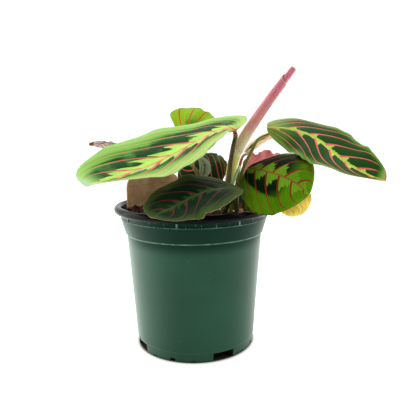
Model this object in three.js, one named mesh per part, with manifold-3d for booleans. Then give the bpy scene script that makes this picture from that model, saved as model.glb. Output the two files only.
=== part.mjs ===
// A potted prayer plant (maranta): a round nursery pot filled with soil, a paper tag,
// eleven open leaves on stalks, one leaf still rolled up, and the sheaths at the stalks' foot.
// Millimetres, +Z up. The origin is on the pot's axis, level with what the pot stands on.
// The plant's front faces -Y.

import * as THREE from 'three';
import { mergeVertices } from 'three/addons/utils/BufferGeometryUtils.js';
import Module from 'manifold-3d';

const wasm = await Module();
wasm.setup();

// Driving dimensions of the pot
const RIM_RADIUS = 55;
const RIM_ROLL = 2.6;
const POT_HEIGHT = 98.5;
const FOOT_RADIUS = 41;
const HEEL_RADIUS = 41.7;
const HEEL_HEIGHT = 6.5;
const BODY_TOP_RADIUS = 46.8;
const BODY_TOP = 78.8;
const BAND_RADIUS_LOW = 47.9;
const BAND_RADIUS_HIGH = 50.7;
const BAND_LOW = 79.8;
const BAND_HIGH = 90;
const NECK_RADIUS = 50.2;
const WALL = 1.2;
const FLOOR_UNDER = 3;
const FLOOR_THICK = 1.5;
const FOOT_RING_INNER = 38.5;
const CENTRE_PAD_RADIUS = 10;
const POT_SEGMENTS = 48;

// Drain slots and notches round the foot, in degrees from +X
const SLOT_COUNT = 4;
const SLOT_FIRST = -64;
const SLOT_SIZE = [14, 15, 12];
const SLOT_TOP = 5.6;
const SLOT_INNER_RADIUS = 33;
const NOTCH_STARTS = [-93, -112, -131];
const NOTCH_WIDTH = 3.6;
const NOTCH_TOPS = [1.2, 2.4, 1.2];

// Small upright ribs in the neck under the rim
const NECK_RIB_COUNT = 8;
const NECK_RIB_WIDTH = 1.4;
const NECK_RIB_FIRST = -57;

// Soil
const FIT_GAP = 0.3;
const SOIL_EDGE = 92.6;
const SOIL_CROWN = 1.8;
const SOIL_ROUGHNESS = 0.7;
const SOIL_SEGMENTS = 36;
const ROOT_DEPTH = 80;
const HOLE_GAP = 0.45;

// Tag
const TAG_LEFT = [-45, -10];
const TAG_RIGHT = [-12, 27];
const TAG_TOP = 117;
const TAG_SHOULDER = 84;
const TAG_TIP = 62;
const TAG_SPIKE_WIDTH = 12;
const TAG_CORNER = 7;
const TAG_THICK = 1;

// Leaves
const BLADE_THICK = 0.8;
const RIB_THICK = 1.1;
const STALK_GAP = 0.35;
const PULVINUS = 3;
const ACROSS = [-1, -0.72, -0.42, -0.1, 0, 0.1, 0.42, 0.72, 1];
const CLOSER_AT_ENDS = 0.1;
const STALK_SIDES = 7;
const STALK_STEPS = 12;

const degrees = (angle) => angle * Math.PI / 180;
const blend = (pair, t) => pair[0] + (pair[1] - pair[0]) * t;
const vector = (list) => new THREE.Vector3(...list);

function material(colour, roughness) {
  return new THREE.MeshStandardMaterial({ color: colour, roughness, metalness: 0 });
}

const group = new THREE.Group();

function add(name, geometry, colour, roughness) {
  const mesh = new THREE.Mesh(geometry, material(colour, roughness));
  mesh.name = name;
  group.add(mesh);
  return mesh;
}

// Solids for cutting and joining

function toSolid(geometry) {
  const bare = geometry.clone();
  bare.deleteAttribute('normal');
  bare.deleteAttribute('uv');
  const merged = mergeVertices(bare, 1e-4);
  return new wasm.Manifold(new wasm.Mesh({
    numProp: 3,
    vertProperties: new Float32Array(merged.attributes.position.array),
    triVerts: new Uint32Array(merged.index.array),
  }));
}

function fromSolid(solid) {
  const mesh = solid.getMesh();
  const geometry = new THREE.BufferGeometry();
  geometry.setAttribute('position', new THREE.BufferAttribute(mesh.vertProperties, 3));
  geometry.setIndex(new THREE.BufferAttribute(mesh.triVerts, 1));
  geometry.computeVertexNormals();
  return geometry;
}

// A closed skin over a row of rings with the same number of points each. The rings' ends are
// closed by strips between opposite points. The second half of every ring runs back, so its
// squares are split the other way, and both faces of a thin blade are split alike.
function skin(rings) {
  const count = rings[0].length;
  const positions = rings.flat().flatMap((point) => point.toArray());
  const index = [];
  for (let k = 0; k < rings.length - 1; k += 1) {
    for (let i = 0; i < count; i += 1) {
      const j = (i + 1) % count;
      const a = k * count + i;
      const b = k * count + j;
      const c = a + count;
      const d = b + count;
      if (i < count / 2) {
        index.push(a, b, d, a, d, c);
      } else {
        index.push(a, b, c, b, d, c);
      }
    }
  }
  const last = (rings.length - 1) * count;
  for (let i = 0; i < count / 2 - 1; i += 1) {
    const far = count - 1 - i;
    const strip = [[i, far, i + 1], [i + 1, far, far - 1]];
    strip.filter(([a, b, c]) => a !== b && b !== c && a !== c).forEach(([a, b, c]) => {
      index.push(a, b, c);
      index.push(last + a, last + c, last + b);
    });
  }
  const geometry = new THREE.BufferGeometry();
  geometry.setAttribute('position', new THREE.Float32BufferAttribute(positions, 3));
  geometry.setIndex(index);
  geometry.computeVertexNormals();
  return geometry;
}

// Pot

function wallRadius(height) {
  return HEEL_RADIUS + (BODY_TOP_RADIUS - HEEL_RADIUS) * (height - HEEL_HEIGHT) / (BODY_TOP - HEEL_HEIGHT);
}

function rimRoll(steps) {
  const centre = [RIM_RADIUS - RIM_ROLL, POT_HEIGHT - RIM_ROLL];
  const points = [];
  for (let k = 0; k <= steps; k += 1) {
    const angle = degrees(-110 + 290 * k / steps);
    points.push([centre[0] + RIM_ROLL * Math.cos(angle), centre[1] + RIM_ROLL * Math.sin(angle)]);
  }
  return points;
}

function potBody() {
  const floorTop = FLOOR_UNDER + FLOOR_THICK;
  const neckTop = POT_HEIGHT - 2 * RIM_ROLL;
  const profile = [
    [0, 0],
    [CENTRE_PAD_RADIUS, 0],
    [CENTRE_PAD_RADIUS + 1, FLOOR_UNDER],
    [FOOT_RING_INNER, FLOOR_UNDER],
    [FOOT_RING_INNER, 0],
    [FOOT_RADIUS, 0],
    [HEEL_RADIUS, HEEL_HEIGHT],
    [BODY_TOP_RADIUS, BODY_TOP],
    [BAND_RADIUS_LOW, BAND_LOW],
    [BAND_RADIUS_HIGH, BAND_HIGH],
    [NECK_RADIUS, BAND_HIGH + 0.5],
    [NECK_RADIUS, neckTop + 0.2],
    ...rimRoll(9),
    [NECK_RADIUS - WALL, neckTop],
    [NECK_RADIUS - WALL, BAND_HIGH],
    [BAND_RADIUS_LOW - WALL, BAND_LOW + 1],
    [BODY_TOP_RADIUS - WALL, BODY_TOP],
    [wallRadius(floorTop) - WALL, floorTop],
    [0, floorTop],
  ].map(([radius, height]) => new THREE.Vector2(radius, height));
  const geometry = new THREE.LatheGeometry(profile, POT_SEGMENTS);
  geometry.rotateX(Math.PI / 2);
  return toSolid(geometry);
}

function boxAt(size, centre, turn) {
  const geometry = new THREE.BoxGeometry(...size);
  geometry.translate(...centre);
  geometry.rotateZ(degrees(turn));
  return toSolid(geometry);
}

function pot() {
  let body = potBody();
  for (let k = 0; k < NECK_RIB_COUNT; k += 1) {
    const low = BAND_HIGH - 0.6;
    const high = POT_HEIGHT - 2 * RIM_ROLL + 0.8;
    const centre = [NECK_RADIUS, 0, (low + high) / 2];
    const turn = NECK_RIB_FIRST + 360 * k / NECK_RIB_COUNT;
    body = body.add(boxAt([1.2, NECK_RIB_WIDTH, high - low], centre, turn));
  }
  for (let k = 0; k < SLOT_COUNT; k += 1) {
    const centre = [SLOT_INNER_RADIUS + SLOT_SIZE[0] / 2, 0, SLOT_TOP - SLOT_SIZE[2] / 2];
    body = body.subtract(boxAt(SLOT_SIZE, centre, SLOT_FIRST + 360 * k / SLOT_COUNT));
    NOTCH_STARTS.forEach((start, i) => {
      const height = 4;
      const middle = [FOOT_RADIUS, 0, NOTCH_TOPS[i] - height / 2];
      body = body.subtract(boxAt([8, NOTCH_WIDTH, height], middle, start + 360 * k / SLOT_COUNT));
    });
  }
  return body;
}

// Stalks: round, tapered, along a smooth curve through a few points

function ringAround(centre, side, up, radius, sides) {
  const ring = [];
  for (let i = 0; i < sides; i += 1) {
    const angle = 2 * Math.PI * i / sides;
    ring.push(centre.clone()
      .addScaledVector(side, radius * Math.cos(angle))
      .addScaledVector(up, radius * Math.sin(angle)));
  }
  return ring;
}

function frames(curve, steps) {
  const frenet = curve.computeFrenetFrames(steps, false);
  const list = [];
  for (let k = 0; k <= steps; k += 1) {
    list.push({
      t: k / steps,
      centre: curve.getPointAt(k / steps),
      along: frenet.tangents[k],
      side: frenet.normals[k],
      up: frenet.binormals[k],
    });
  }
  return list;
}

function taperedTube(points, radii, steps, sides, grow = 0) {
  const curve = new THREE.CatmullRomCurve3(points.map(vector), false, 'centripetal');
  const rings = frames(curve, steps).map(({ t, centre, side, up }) => (
    ringAround(centre, side, up, blend(radii, t) + grow, sides)
  ));
  return skin(rings);
}

// A stalk goes on below the soil's surface, straight down in line with its first stretch
function rooted(points) {
  const [first, second] = points;
  const drop = (first[2] - ROOT_DEPTH) / (second[2] - first[2]);
  const foot = [0, 1].map((axis) => first[axis] - (second[axis] - first[axis]) * drop * 0.5);
  return [[...foot, ROOT_DEPTH], ...points];
}

// Leaves. Every leaf has a midrib through four points, and two halves that start at the midrib
// with a fold angle and bend on with a curl angle, both in degrees and given at base and tip.
// half is the greatest half width, and share scales the left and the right half. blunt says how
// round the base and the tip are, lobe how far each half reaches back past the stalk, and wave
// gives the number, the height and the phase of the waves along the margin. roll is a further
// curl in degrees that is strongest at the base and soon fades.

const LEAVES = {
  left_leaf: {
    rib: [[26, -26, 147.5], [9, -18, 145.5], [-26, -23, 130], [-61, -55, 117]],
    half: 32, share: [1.05, 1], blunt: [0.8, 0.5], lobe: [8, 5], wave: [4, 0.8, 0.1], roll: [80, 120],
    facing: [[-0.4, -0.3, 0.9], [-0.4, -0.65, 0.65]],
    fold: [[10, 10], [-5, 15]], curl: [[-5, 0], [-35, 10]], steps: 16,
    colour: 0x7fb45a,
  },
  right_leaf: {
    rib: [[50, -4, 150], [79, -15, 143], [95, -24, 129], [119, -37, 116]],
    half: 25, share: [0.97, 1.02], blunt: [0.6, 0.5], lobe: [9, 1], wave: [3, 1, 0.2],
    facing: [[0.3, -0.6, 0.65], [0.15, -0.55, 0.8]],
    fold: [[0, 15], [-5, 20]], curl: [[-30, 10], [-40, 20]], steps: 16,
    colour: 0x2f5d33,
  },
  front_leaf: {
    rib: [[35, -21, 124], [46, -33, 122], [57.5, -43, 118], [69, -46, 109]],
    half: 30, share: [0.88, 0.92], blunt: [0.6, 0.55], lobe: [-1, 4], wave: [3, 0.8, 0.4],
    facing: [[0.1, -0.9, 0.45], [0.1, -0.9, 0.35]],
    fold: [[5, 10], [5, 10]], curl: [[-50, -55], [-35, -30]], steps: 16,
    colour: 0x4f8a1f,
  },
  low_leaf: {
    rib: [[28, -39, 113], [5, -49, 112], [-10, -54, 106], [-24, -68, 101]],
    half: 21, share: [1.05, 0.95], blunt: [0.55, 0.55], lobe: [1, 1], wave: [3, 0.8, 0.1],
    facing: [[-0.6, -0.45, 0.65], [0, -0.5, 0.87]],
    fold: [[5, 5], [10, 5]], curl: [[-10, -5], [-10, -5]], steps: 16,
    colour: 0x1f3b23,
  },
  lime_leaf: {
    rib: [[-14, 40, 148], [-7, 36, 146], [2, 29, 142], [12, 21, 135]],
    half: 23.5, share: [1, 0.55], blunt: [0.5, 0.5], lobe: [12, 4], wave: [3, 0.6, 0],
    facing: [[-0.1, -0.97, 0.15], [0.15, -0.97, 0.18]],
    fold: [[0, 0], [0, 0]], curl: [[-20, -20], [-20, -20]], steps: 11,
    colour: 0x8fbf1c,
  },
  back_leaf: {
    rib: [[20, 7, 111], [10, 12, 115], [1, 18, 121], [-7, 26, 127]],
    half: 18.5, share: [1, 1], blunt: [0.5, 0.6], lobe: [2, 3], wave: [3, 0.6, 0.3],
    facing: [[-0.05, -0.98, 0.15], [0, -0.95, 0.3]],
    fold: [[5, 5], [7, 5]], curl: [[-20, -20], [-25, -30]], steps: 11,
    colour: 0x234a2a,
  },
  pink_leaf: {
    rib: [[35, 6, 121], [46, 11, 123], [57, 16, 123], [68, 20, 120]],
    half: 13, share: [1, 0.8], blunt: [0.5, 0.6], lobe: [2, 2], wave: [4, 1.2, 0.3],
    facing: [[0.1, 0.85, 0.5], [0.1, 0.85, 0.5]],
    fold: [[10, 10], [5, 5]], curl: [[20, 20], [20, 20]], steps: 11,
    colour: 0xb5616b,
  },
  yellow_leaf: {
    rib: [[48, -15, 114], [55, -25, 109], [59, -32, 102], [59, -35, 94]],
    half: 19, share: [1.05, 0.6], blunt: [0.5, 0.6], lobe: [2, 2], wave: [4, 1, 0.3],
    facing: [[0.1, -0.9, 0.35], [0.35, -0.9, 0.15]],
    fold: [[0, 0], [0, 0]], curl: [[-15, -20], [-20, -20]], steps: 11,
    colour: 0xd9cf4a,
  },
  young_leaf: {
    rib: [[37, 4, 133], [44.5, 5, 138], [52, 7, 142], [62, 9, 145]],
    half: 8, share: [1, 0.9], blunt: [0.4, 0.7], lobe: [0, 0], wave: [3, 0.6, 0.3],
    facing: [[0.2, -0.75, 0.6], [0, -0.75, 0.6]],
    fold: [[40, 40], [30, 30]], curl: [[110, 110], [90, 90]], steps: 11,
    colour: 0xd5d98c,
  },
  dry_leaf: {
    rib: [[-53, 31, 132], [-60, 31, 135], [-68, 30, 137], [-77, 29, 139]],
    half: 6, share: [1, 0.9], blunt: [0.4, 0.7], lobe: [0, 0], wave: [3, 0.6, 0.3],
    facing: [[0, -0.5, 0.85], [0, -0.5, 0.85]],
    fold: [[50, 50], [40, 40]], curl: [[100, 110], [100, 110]], steps: 11,
    colour: 0xa9777a,
  },
  small_leaf: {
    rib: [[5, 8, 116.5], [6.2, 7.5, 120.5], [6, 7.5, 124.5], [4, 8, 129]],
    half: 5, share: [0.5, 1.1], blunt: [0.5, 0.6], lobe: [0, 0], wave: [3, 0.4, 0.3],
    facing: [[0.1, -0.9, 0.1], [0.1, -0.9, 0.1]],
    fold: [[25, 25], [10, 10]], curl: [[40, 40], [25, 25]], steps: 8,
    colour: 0x9db8a4,
  },
};

const MARGIN = 0.8;
const ROLL_FADE = 8;

function lagrange(points, t) {
  const knots = [0, 1 / 3, 2 / 3, 1];
  const sum = new THREE.Vector3();
  points.forEach((point, i) => {
    let weight = 1;
    knots.forEach((knot, j) => {
      weight *= i === j ? 1 : (t - knot) / (knots[i] - knot);
    });
    sum.addScaledVector(vector(point), weight);
  });
  return sum;
}

function tangent(leaf, t) {
  const step = 1e-3;
  return lagrange(leaf.rib, t + step).sub(lagrange(leaf.rib, t - step)).normalize();
}

function halfWidth(leaf, t, side) {
  const [base, tip] = leaf.blunt;
  const widest = base / (base + tip);
  const shape = (t / widest) ** base * ((1 - t) / (1 - widest)) ** tip;
  return leaf.half * shape * leaf.share[side] + MARGIN;
}

// The lobes start at the stalk, reach back most a little way up the leaf, and fade from there
function lobeShare(t) {
  return 2 * (1 - t) ** 4 * (1 - (1 - t) ** 12);
}

// The upper face at share t along the midrib and s across it, from -1 at the left margin to 1
function leafPoint(leaf, t, s) {
  const side = s > 0 ? 1 : 0;
  const reach = Math.abs(s);
  const along = tangent(leaf, t);
  const up = vector(leaf.facing[0]).normalize().lerp(vector(leaf.facing[1]).normalize(), t);
  up.addScaledVector(along, -up.dot(along)).normalize();
  const across = new THREE.Vector3().crossVectors(along, up);
  const roll = (leaf.roll ?? [0, 0])[side] * (1 - t) ** ROLL_FADE;
  const curl = degrees(blend(leaf.curl[side], t) + roll) * reach / 2;
  const angle = degrees(blend(leaf.fold[side], t)) + curl;
  const chord = halfWidth(leaf, t, side) * reach * (Math.abs(curl) > 1e-6 ? Math.sin(curl) / curl : 1);
  const [waves, height, phase] = leaf.wave;
  const turn = 2 * Math.PI * (waves * t + phase * (side === 1 ? 1 : -1));
  const ripple = height * reach ** 2 * Math.sin(turn) * Math.sin(Math.PI * t);
  return lagrange(leaf.rib, t)
    .addScaledVector(across, Math.sign(s) * chord * Math.cos(angle))
    .addScaledVector(up, chord * Math.sin(angle) + ripple)
    .addScaledVector(along, -leaf.lobe[side] * reach ** 1.5 * lobeShare(t));
}

function leafNormal(leaf, t, s) {
  const step = 0.01;
  const low = Math.max(t - step, 0);
  const high = Math.min(t + step, 1);
  const left = Math.max(s - step, -1);
  const right = Math.min(s + step, 1);
  const along = leafPoint(leaf, high, s).sub(leafPoint(leaf, low, s));
  const across = leafPoint(leaf, t, right).sub(leafPoint(leaf, t, left));
  return across.cross(along).normalize();
}

function blade(leaf) {
  const rings = [];
  for (let k = 0; k <= leaf.steps; k += 1) {
    const even = k / leaf.steps;
    const t = even - CLOSER_AT_ENDS * Math.sin(2 * Math.PI * even);
    const top = ACROSS.map((s) => leafPoint(leaf, t, s));
    const bottom = ACROSS.map((s) => {
      const depth = BLADE_THICK + (s === 0 ? RIB_THICK * (1 - t) : 0);
      return leafPoint(leaf, t, s).addScaledVector(leafNormal(leaf, t, s), -depth);
    });
    rings.push([...top, ...bottom.reverse()]);
  }
  return skin(rings);
}

// A stalk's points start at the soil. Its last stretch, the swollen joint that turns the leaf,
// meets the underside of the midrib's base squarely.
function stalkEnd(leaf) {
  const normal = leafNormal(leaf, 0.02, 0);
  const end = lagrange(leaf.rib, 0.01).addScaledVector(normal, -(BLADE_THICK + RIB_THICK + STALK_GAP));
  const start = end.clone().addScaledVector(normal, -PULVINUS);
  return [start.toArray(), end.toArray()];
}

const STALKS = {
  left_leaf: {
    points: [[19, -15, 93], [22, -16.5, 109], [24, -20, 128], [25.5, -23, 138]],
    radii: [2.1, 1.3], colour: 0x4a4420,
  },
  right_leaf: {
    points: [[28, -20, 93], [28.5, -19, 108], [32.5, -15, 122], [37.5, -11, 131.5], [43.5, -7, 141.5]],
    radii: [1.6, 1], colour: 0x62682a,
  },
  front_leaf: {
    points: [[33, -12, 93], [34, -13, 105], [34.5, -15, 113]],
    radii: [1.4, 1], colour: 0x4d5a26,
  },
  low_leaf: {
    points: [[19, -23, 94], [22, -27, 101], [26.5, -33, 107]],
    radii: [2.1, 1.1], colour: 0x33461f,
  },
  lime_leaf: {
    points: [[5, 6, 96], [4, 7, 110], [1, 10, 121], [-10, 22, 131], [-18, 38, 141], [-19, 46, 147]],
    radii: [1.3, 0.9], colour: 0x6d7428,
  },
  back_leaf: {
    points: [[22, 7, 95], [22.5, 11, 103]],
    radii: [1.3, 0.9], colour: 0x4d5a26,
  },
  pink_leaf: {
    points: [[27, 0, 95], [29, 1, 107], [32, 3, 116]],
    radii: [1.3, 0.9], colour: 0x6f5a30,
  },
  yellow_leaf: {
    points: [[37, -8, 94], [40, -7, 104]],
    radii: [1.3, 0.9], colour: 0x8f8a34,
  },
  young_leaf: {
    points: [[28, -10, 95], [29, -9, 110], [31, -5, 122], [34, 0, 130]],
    radii: [1.5, 0.8], colour: 0x4b3322,
  },
  dry_leaf: {
    points: [[-4, 28, 95], [-8, 30, 105], [-14, 31, 111], [-23, 32, 115], [-36, 33, 119]],
    radii: [1.4, 0.9], colour: 0x3a3a1c,
  },
};

// The leaf that is still rolled up: one thin sheet wound in a spiral, the outer layer ending lower

const ROLL = {
  points: [[29, -10.8, 134.6], [35.7, -10, 146], [49.7, -8, 166], [66.7, -6, 188]],
  turns: 2.1, start: 150, inner: 2, pitch: 1.15, thick: 0.6, narrow: 0.7, outerEnd: 0.825,
  steps: 10, around: 28,
};

function rolledLeaf() {
  const curve = new THREE.CatmullRomCurve3(ROLL.points.map(vector), false, 'centripetal');
  const sheet = (u, v, depth) => {
    const share = v / ROLL.around;
    const end = 1 - (1 - ROLL.outerEnd) * THREE.MathUtils.smoothstep(share, 0.5, 0.9);
    const t = u * end;
    const along = curve.getTangentAt(t);
    const side = new THREE.Vector3().crossVectors(along, new THREE.Vector3(0, 1, 0)).normalize();
    const up = new THREE.Vector3().crossVectors(along, side);
    const angle = THREE.MathUtils.degToRad(ROLL.start) + 2 * Math.PI * ROLL.turns * share;
    const taper = 1 - (1 - ROLL.narrow) * t;
    const radius = (ROLL.inner + ROLL.pitch * ROLL.turns * share) * taper - depth;
    return curve.getPointAt(t)
      .addScaledVector(side, radius * Math.cos(angle))
      .addScaledVector(up, radius * Math.sin(angle));
  };
  const rings = [];
  for (let k = 0; k <= ROLL.steps; k += 1) {
    const outer = [];
    const inner = [];
    for (let v = 0; v <= ROLL.around; v += 1) {
      outer.push(sheet(k / ROLL.steps, v, 0));
      inner.push(sheet(k / ROLL.steps, v, ROLL.thick));
    }
    rings.push([...outer, ...inner.reverse()]);
  }
  return skin(rings);
}

const SHEATHS = {
  stem_sheath: {
    points: [[22, -9, 92], [23.5, -10, 108], [25.5, -11, 123], [28.6, -11, 133.4]],
    radii: [2.2, 3.6], colour: 0xb3b06a,
  },
  side_sheath: {
    points: [[23.5, -20, 94], [24.8, -20.5, 111], [27, -20, 118], [30, -19, 125]],
    radii: [1.7, 0.9], colour: 0x7fae72,
  },
};

// Tag: a card with round upper corners and a spike for the soil

function tag(grow = 0) {
  const left = new THREE.Vector2(...TAG_LEFT);
  const right = new THREE.Vector2(...TAG_RIGHT);
  const half = left.distanceTo(right) / 2 + grow;
  const spike = TAG_SPIKE_WIDTH / 2 + grow;
  const top = TAG_TOP + grow;
  const shape = new THREE.Shape();
  shape.moveTo(0, TAG_TIP - grow);
  shape.lineTo(spike, TAG_TIP + 9);
  shape.lineTo(spike, TAG_SHOULDER - 3);
  shape.lineTo(half - 3, TAG_SHOULDER - grow);
  shape.lineTo(half, TAG_SHOULDER + 3);
  shape.lineTo(half, top - TAG_CORNER);
  shape.quadraticCurveTo(half, top, half - TAG_CORNER, top);
  shape.lineTo(-half + TAG_CORNER, top);
  shape.quadraticCurveTo(-half, top, -half, top - TAG_CORNER);
  shape.lineTo(-half, TAG_SHOULDER + 3);
  shape.lineTo(-half + 3, TAG_SHOULDER - grow);
  shape.lineTo(-spike, TAG_SHOULDER - 3);
  shape.lineTo(-spike, TAG_TIP + 9);
  shape.closePath();
  const depth = TAG_THICK + 2 * grow;
  const geometry = new THREE.ExtrudeGeometry(shape, { depth, bevelEnabled: false, curveSegments: 4 });
  geometry.translate(0, 0, -depth / 2);
  geometry.rotateX(Math.PI / 2);
  geometry.rotateZ(Math.atan2(right.y - left.y, right.x - left.x));
  geometry.translate((left.x + right.x) / 2, (left.y + right.y) / 2, 0);
  return geometry;
}

// Soil: it fills the pot up to a low uneven mound, with a hole for each stalk and the tag

function soilHeight(x, y) {
  const share = Math.min(Math.hypot(x, y) / NECK_RADIUS, 1);
  const bumps = Math.sin(0.31 * x + 1.3) * Math.cos(0.27 * y - 0.6) + 0.6 * Math.sin(0.63 * x - 0.52 * y);
  return SOIL_EDGE + SOIL_CROWN * (1 - share ** 2) + SOIL_ROUGHNESS * bumps * (1 - share ** 6);
}

function soilBody() {
  const floor = FLOOR_UNDER + FLOOR_THICK + FIT_GAP;
  const inner = (radius) => radius - WALL - FIT_GAP;
  const profile = [
    [0, floor],
    [inner(wallRadius(floor)), floor],
    [inner(BODY_TOP_RADIUS), BODY_TOP],
    [inner(BAND_RADIUS_LOW), BAND_LOW + 1.4],
    [inner(NECK_RADIUS), BAND_HIGH],
    [inner(NECK_RADIUS), SOIL_EDGE],
    [38, SOIL_EDGE],
    [27, SOIL_EDGE],
    [14, SOIL_EDGE],
    [0, SOIL_EDGE],
  ].map(([radius, height]) => new THREE.Vector2(radius, height));
  const geometry = new THREE.LatheGeometry(profile, SOIL_SEGMENTS);
  geometry.rotateX(Math.PI / 2);
  const positions = geometry.attributes.position;
  for (let i = 0; i < positions.count; i += 1) {
    if (positions.getZ(i) > SOIL_EDGE - 0.1) {
      positions.setZ(i, soilHeight(positions.getX(i), positions.getY(i)));
    }
  }
  return toSolid(geometry);
}

// Putting the plant together

add('pot', fromSolid(pot()), 0x2c4a3b, 0.35);
add('plant_tag', tag(), 0x9a7f5c, 0.8);

let soil = soilBody().subtract(toSolid(tag(HOLE_GAP)));

function stand(name, points, radii, steps, sides, colour) {
  const whole = rooted(points);
  add(name, taperedTube(whole, radii, steps, sides), colour, 0.5);
  soil = soil.subtract(toSolid(taperedTube(whole, radii, steps, sides, HOLE_GAP)));
}

Object.entries(LEAVES).forEach(([name, leaf]) => {
  add(name, blade(leaf), leaf.colour, 0.45);
  const stalk = STALKS[name];
  if (stalk) {
    const points = [...stalk.points, ...stalkEnd(leaf)];
    stand(`${name}_stalk`, points, stalk.radii, STALK_STEPS, STALK_SIDES, stalk.colour);
  }
});

Object.entries(SHEATHS).forEach(([name, sheath]) => {
  stand(name, sheath.points, sheath.radii, 10, 9, sheath.colour);
});

add('rolled_leaf', rolledLeaf(), 0xc77a78, 0.5);
add('soil', fromSolid(soil), 0x3a2a20, 0.95);

export default group;
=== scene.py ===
# %% [markdown]
# # A potted prayer plant, leaf by leaf
#
# The object is a young prayer plant in a dark green nursery pot: open leaves with red veins, one leaf
# still rolled up, stalks, sheaths, soil and a card tag. The exact solids of every piece are loaded as a
# fixed frame. This lesson dresses each of them in a finer surface that keeps the same place and form.
# Every surface here is a formula of two numbers, worked out for a whole grid of points at once.

# %% Load the frame
import math

import bpy
import numpy as np
from mathutils import Matrix


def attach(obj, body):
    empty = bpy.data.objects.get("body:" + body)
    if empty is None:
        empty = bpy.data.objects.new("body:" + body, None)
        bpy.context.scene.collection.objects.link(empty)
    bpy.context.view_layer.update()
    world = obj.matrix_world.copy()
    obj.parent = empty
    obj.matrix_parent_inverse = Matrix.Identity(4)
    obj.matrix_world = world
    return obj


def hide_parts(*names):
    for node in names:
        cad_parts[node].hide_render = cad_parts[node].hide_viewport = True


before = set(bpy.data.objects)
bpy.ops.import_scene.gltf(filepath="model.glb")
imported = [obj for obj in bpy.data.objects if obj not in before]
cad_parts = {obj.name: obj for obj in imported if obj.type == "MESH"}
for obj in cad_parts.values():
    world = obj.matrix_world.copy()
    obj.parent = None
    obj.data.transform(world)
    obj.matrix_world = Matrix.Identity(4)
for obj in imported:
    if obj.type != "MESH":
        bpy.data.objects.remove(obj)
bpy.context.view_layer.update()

MM = 0.001
print("nodes in the frame:", len(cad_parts))

# %% [markdown]
# ## The camera
#
# A photograph is matched by finding where its camera stood. Here it stood about 31 cm in front of the
# pot and 14 cm up, looked down by nine degrees, and was turned and rolled a little. A camera could be
# placed by hand and eye. Building its three axes from the angles is exact and easy to change.

# %% Camera
CAMERA_PLACE = np.array([0, -311.6, 143.9])
PITCH = math.radians(9.01)
YAW = math.radians(-1.78)
ROLL = math.radians(-0.53)
# the sensor's width in mm, and the focal length as a share of it
SENSOR = 36
FOCAL_SHARE = 450 / 416


def standing(right, up, back, place):
    """The matrix that lays a camera's or lamp's own axes along these three and puts it at a place in
    millimetres. Both look away from back."""
    matrix = np.eye(4)
    matrix[:3, :3] = np.stack([right, up, back], -1)
    matrix[:3, 3] = np.array(place) * MM
    return Matrix(matrix.tolist())


across = np.array([math.cos(YAW), math.sin(YAW), 0])
forward = np.array([-math.sin(YAW), math.cos(YAW), 0])
upward = np.array([0, 0, 1.0])
ahead = math.cos(PITCH) * forward - math.sin(PITCH) * upward
tilted_up = math.sin(PITCH) * forward + math.cos(PITCH) * upward
camera_right = math.cos(ROLL) * across + math.sin(ROLL) * tilted_up
camera_up = math.cos(ROLL) * tilted_up - math.sin(ROLL) * across

camera_data = bpy.data.cameras.new("photo_camera")
camera_data.sensor_width = SENSOR
camera_data.lens = SENSOR * FOCAL_SHARE
camera_data.clip_start = 0.01
camera = bpy.data.objects.new("photo_camera", camera_data)
bpy.context.scene.collection.objects.link(camera)
camera.matrix_world = standing(camera_right, camera_up, -ahead, CAMERA_PLACE)
bpy.context.scene.camera = camera
print("lens in mm:", round(camera_data.lens, 2))

# %% [markdown]
# ## Helpers for meshes
#
# All pieces are skins over rows of points. A grid of quads joins each row to the next, and an end is
# closed by strips between opposite points of its ring. Blender could loft or screw such shapes with
# modifiers. With whole arrays the same few lines serve leaves, stalks, sheaths and the pot.

# %% Mesh helpers
def unit(vectors):
    """Each vector divided by its own length."""
    return vectors / np.linalg.norm(vectors, axis=-1, keepdims=True)


def ring_faces(rows, count):
    """Corner numbers of the quads of a tube with that many rows of count points, and of the strips
    that close its two ends."""
    row = np.arange(rows - 1)[:, None] * count
    here = np.arange(count)[None]
    after = (here + 1) % count
    sides = np.stack([row + here, row + after, row + count + after, row + count + here], -1)
    near = np.arange(count // 2 - 1)
    far = count - 1 - near
    end = np.stack([near, far, far - 1, near + 1], -1)
    return np.vstack([sides.reshape(-1, 4), end, end[:, ::-1] + (rows - 1) * count]).tolist()


def closed(upper, lower):
    """The two faces of a sheet as rings: each row of the upper one, then the lower one backwards."""
    return np.concatenate([upper, lower[:, ::-1]], axis=1)


def put_mesh(name, points, faces, fields=None, smooth=True):
    """A mesh object from points in millimetres, the faces' corner numbers, and named numbers that
    are kept at the points."""
    mesh = bpy.data.meshes.new(name)
    mesh.from_pydata((points.reshape(-1, 3) * MM).tolist(), [], faces)
    mesh.polygons.foreach_set("use_smooth", np.full(len(faces), smooth))
    for field, values in (fields or {}).items():
        store = mesh.attributes.new(field, "FLOAT", "POINT")
        store.data.foreach_set("value", np.ascontiguousarray(values, np.float32).ravel())
    mesh.validate()
    piece = bpy.data.objects.new(name, mesh)
    bpy.context.scene.collection.objects.link(piece)
    return piece


def finish_piece(piece, slot, paint, *nodes):
    """Gives a piece its paint, hides the solids it stands in for, and fixes it to the one body."""
    piece.data.materials.append(paint.material)
    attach(piece, "root")
    if nodes:
        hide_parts(*nodes)
    print(piece.name, "points:", len(piece.data.vertices), "faces:", len(piece.data.polygons))


# %% [markdown]
# ## Helpers for paint
#
# A procedural paint is a small calculation that runs at every point of a surface. Node by node it
# takes pages to write, so the class below lets a formula read almost like arithmetic. Numbers that
# belong to the piece, such as how far a point lies from the midrib, come in as named fields.

# %% Paint helper
def srgb(red, green, blue):
    """A colour given as it looks on a screen, 0 to 255, turned into linear light."""
    share = np.array([red, green, blue]) / 255
    linear = np.where(share <= 0.04045, share / 12.92, ((share + 0.055) / 1.055) ** 2.4)
    return (*linear.tolist(), 1.0)


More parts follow.
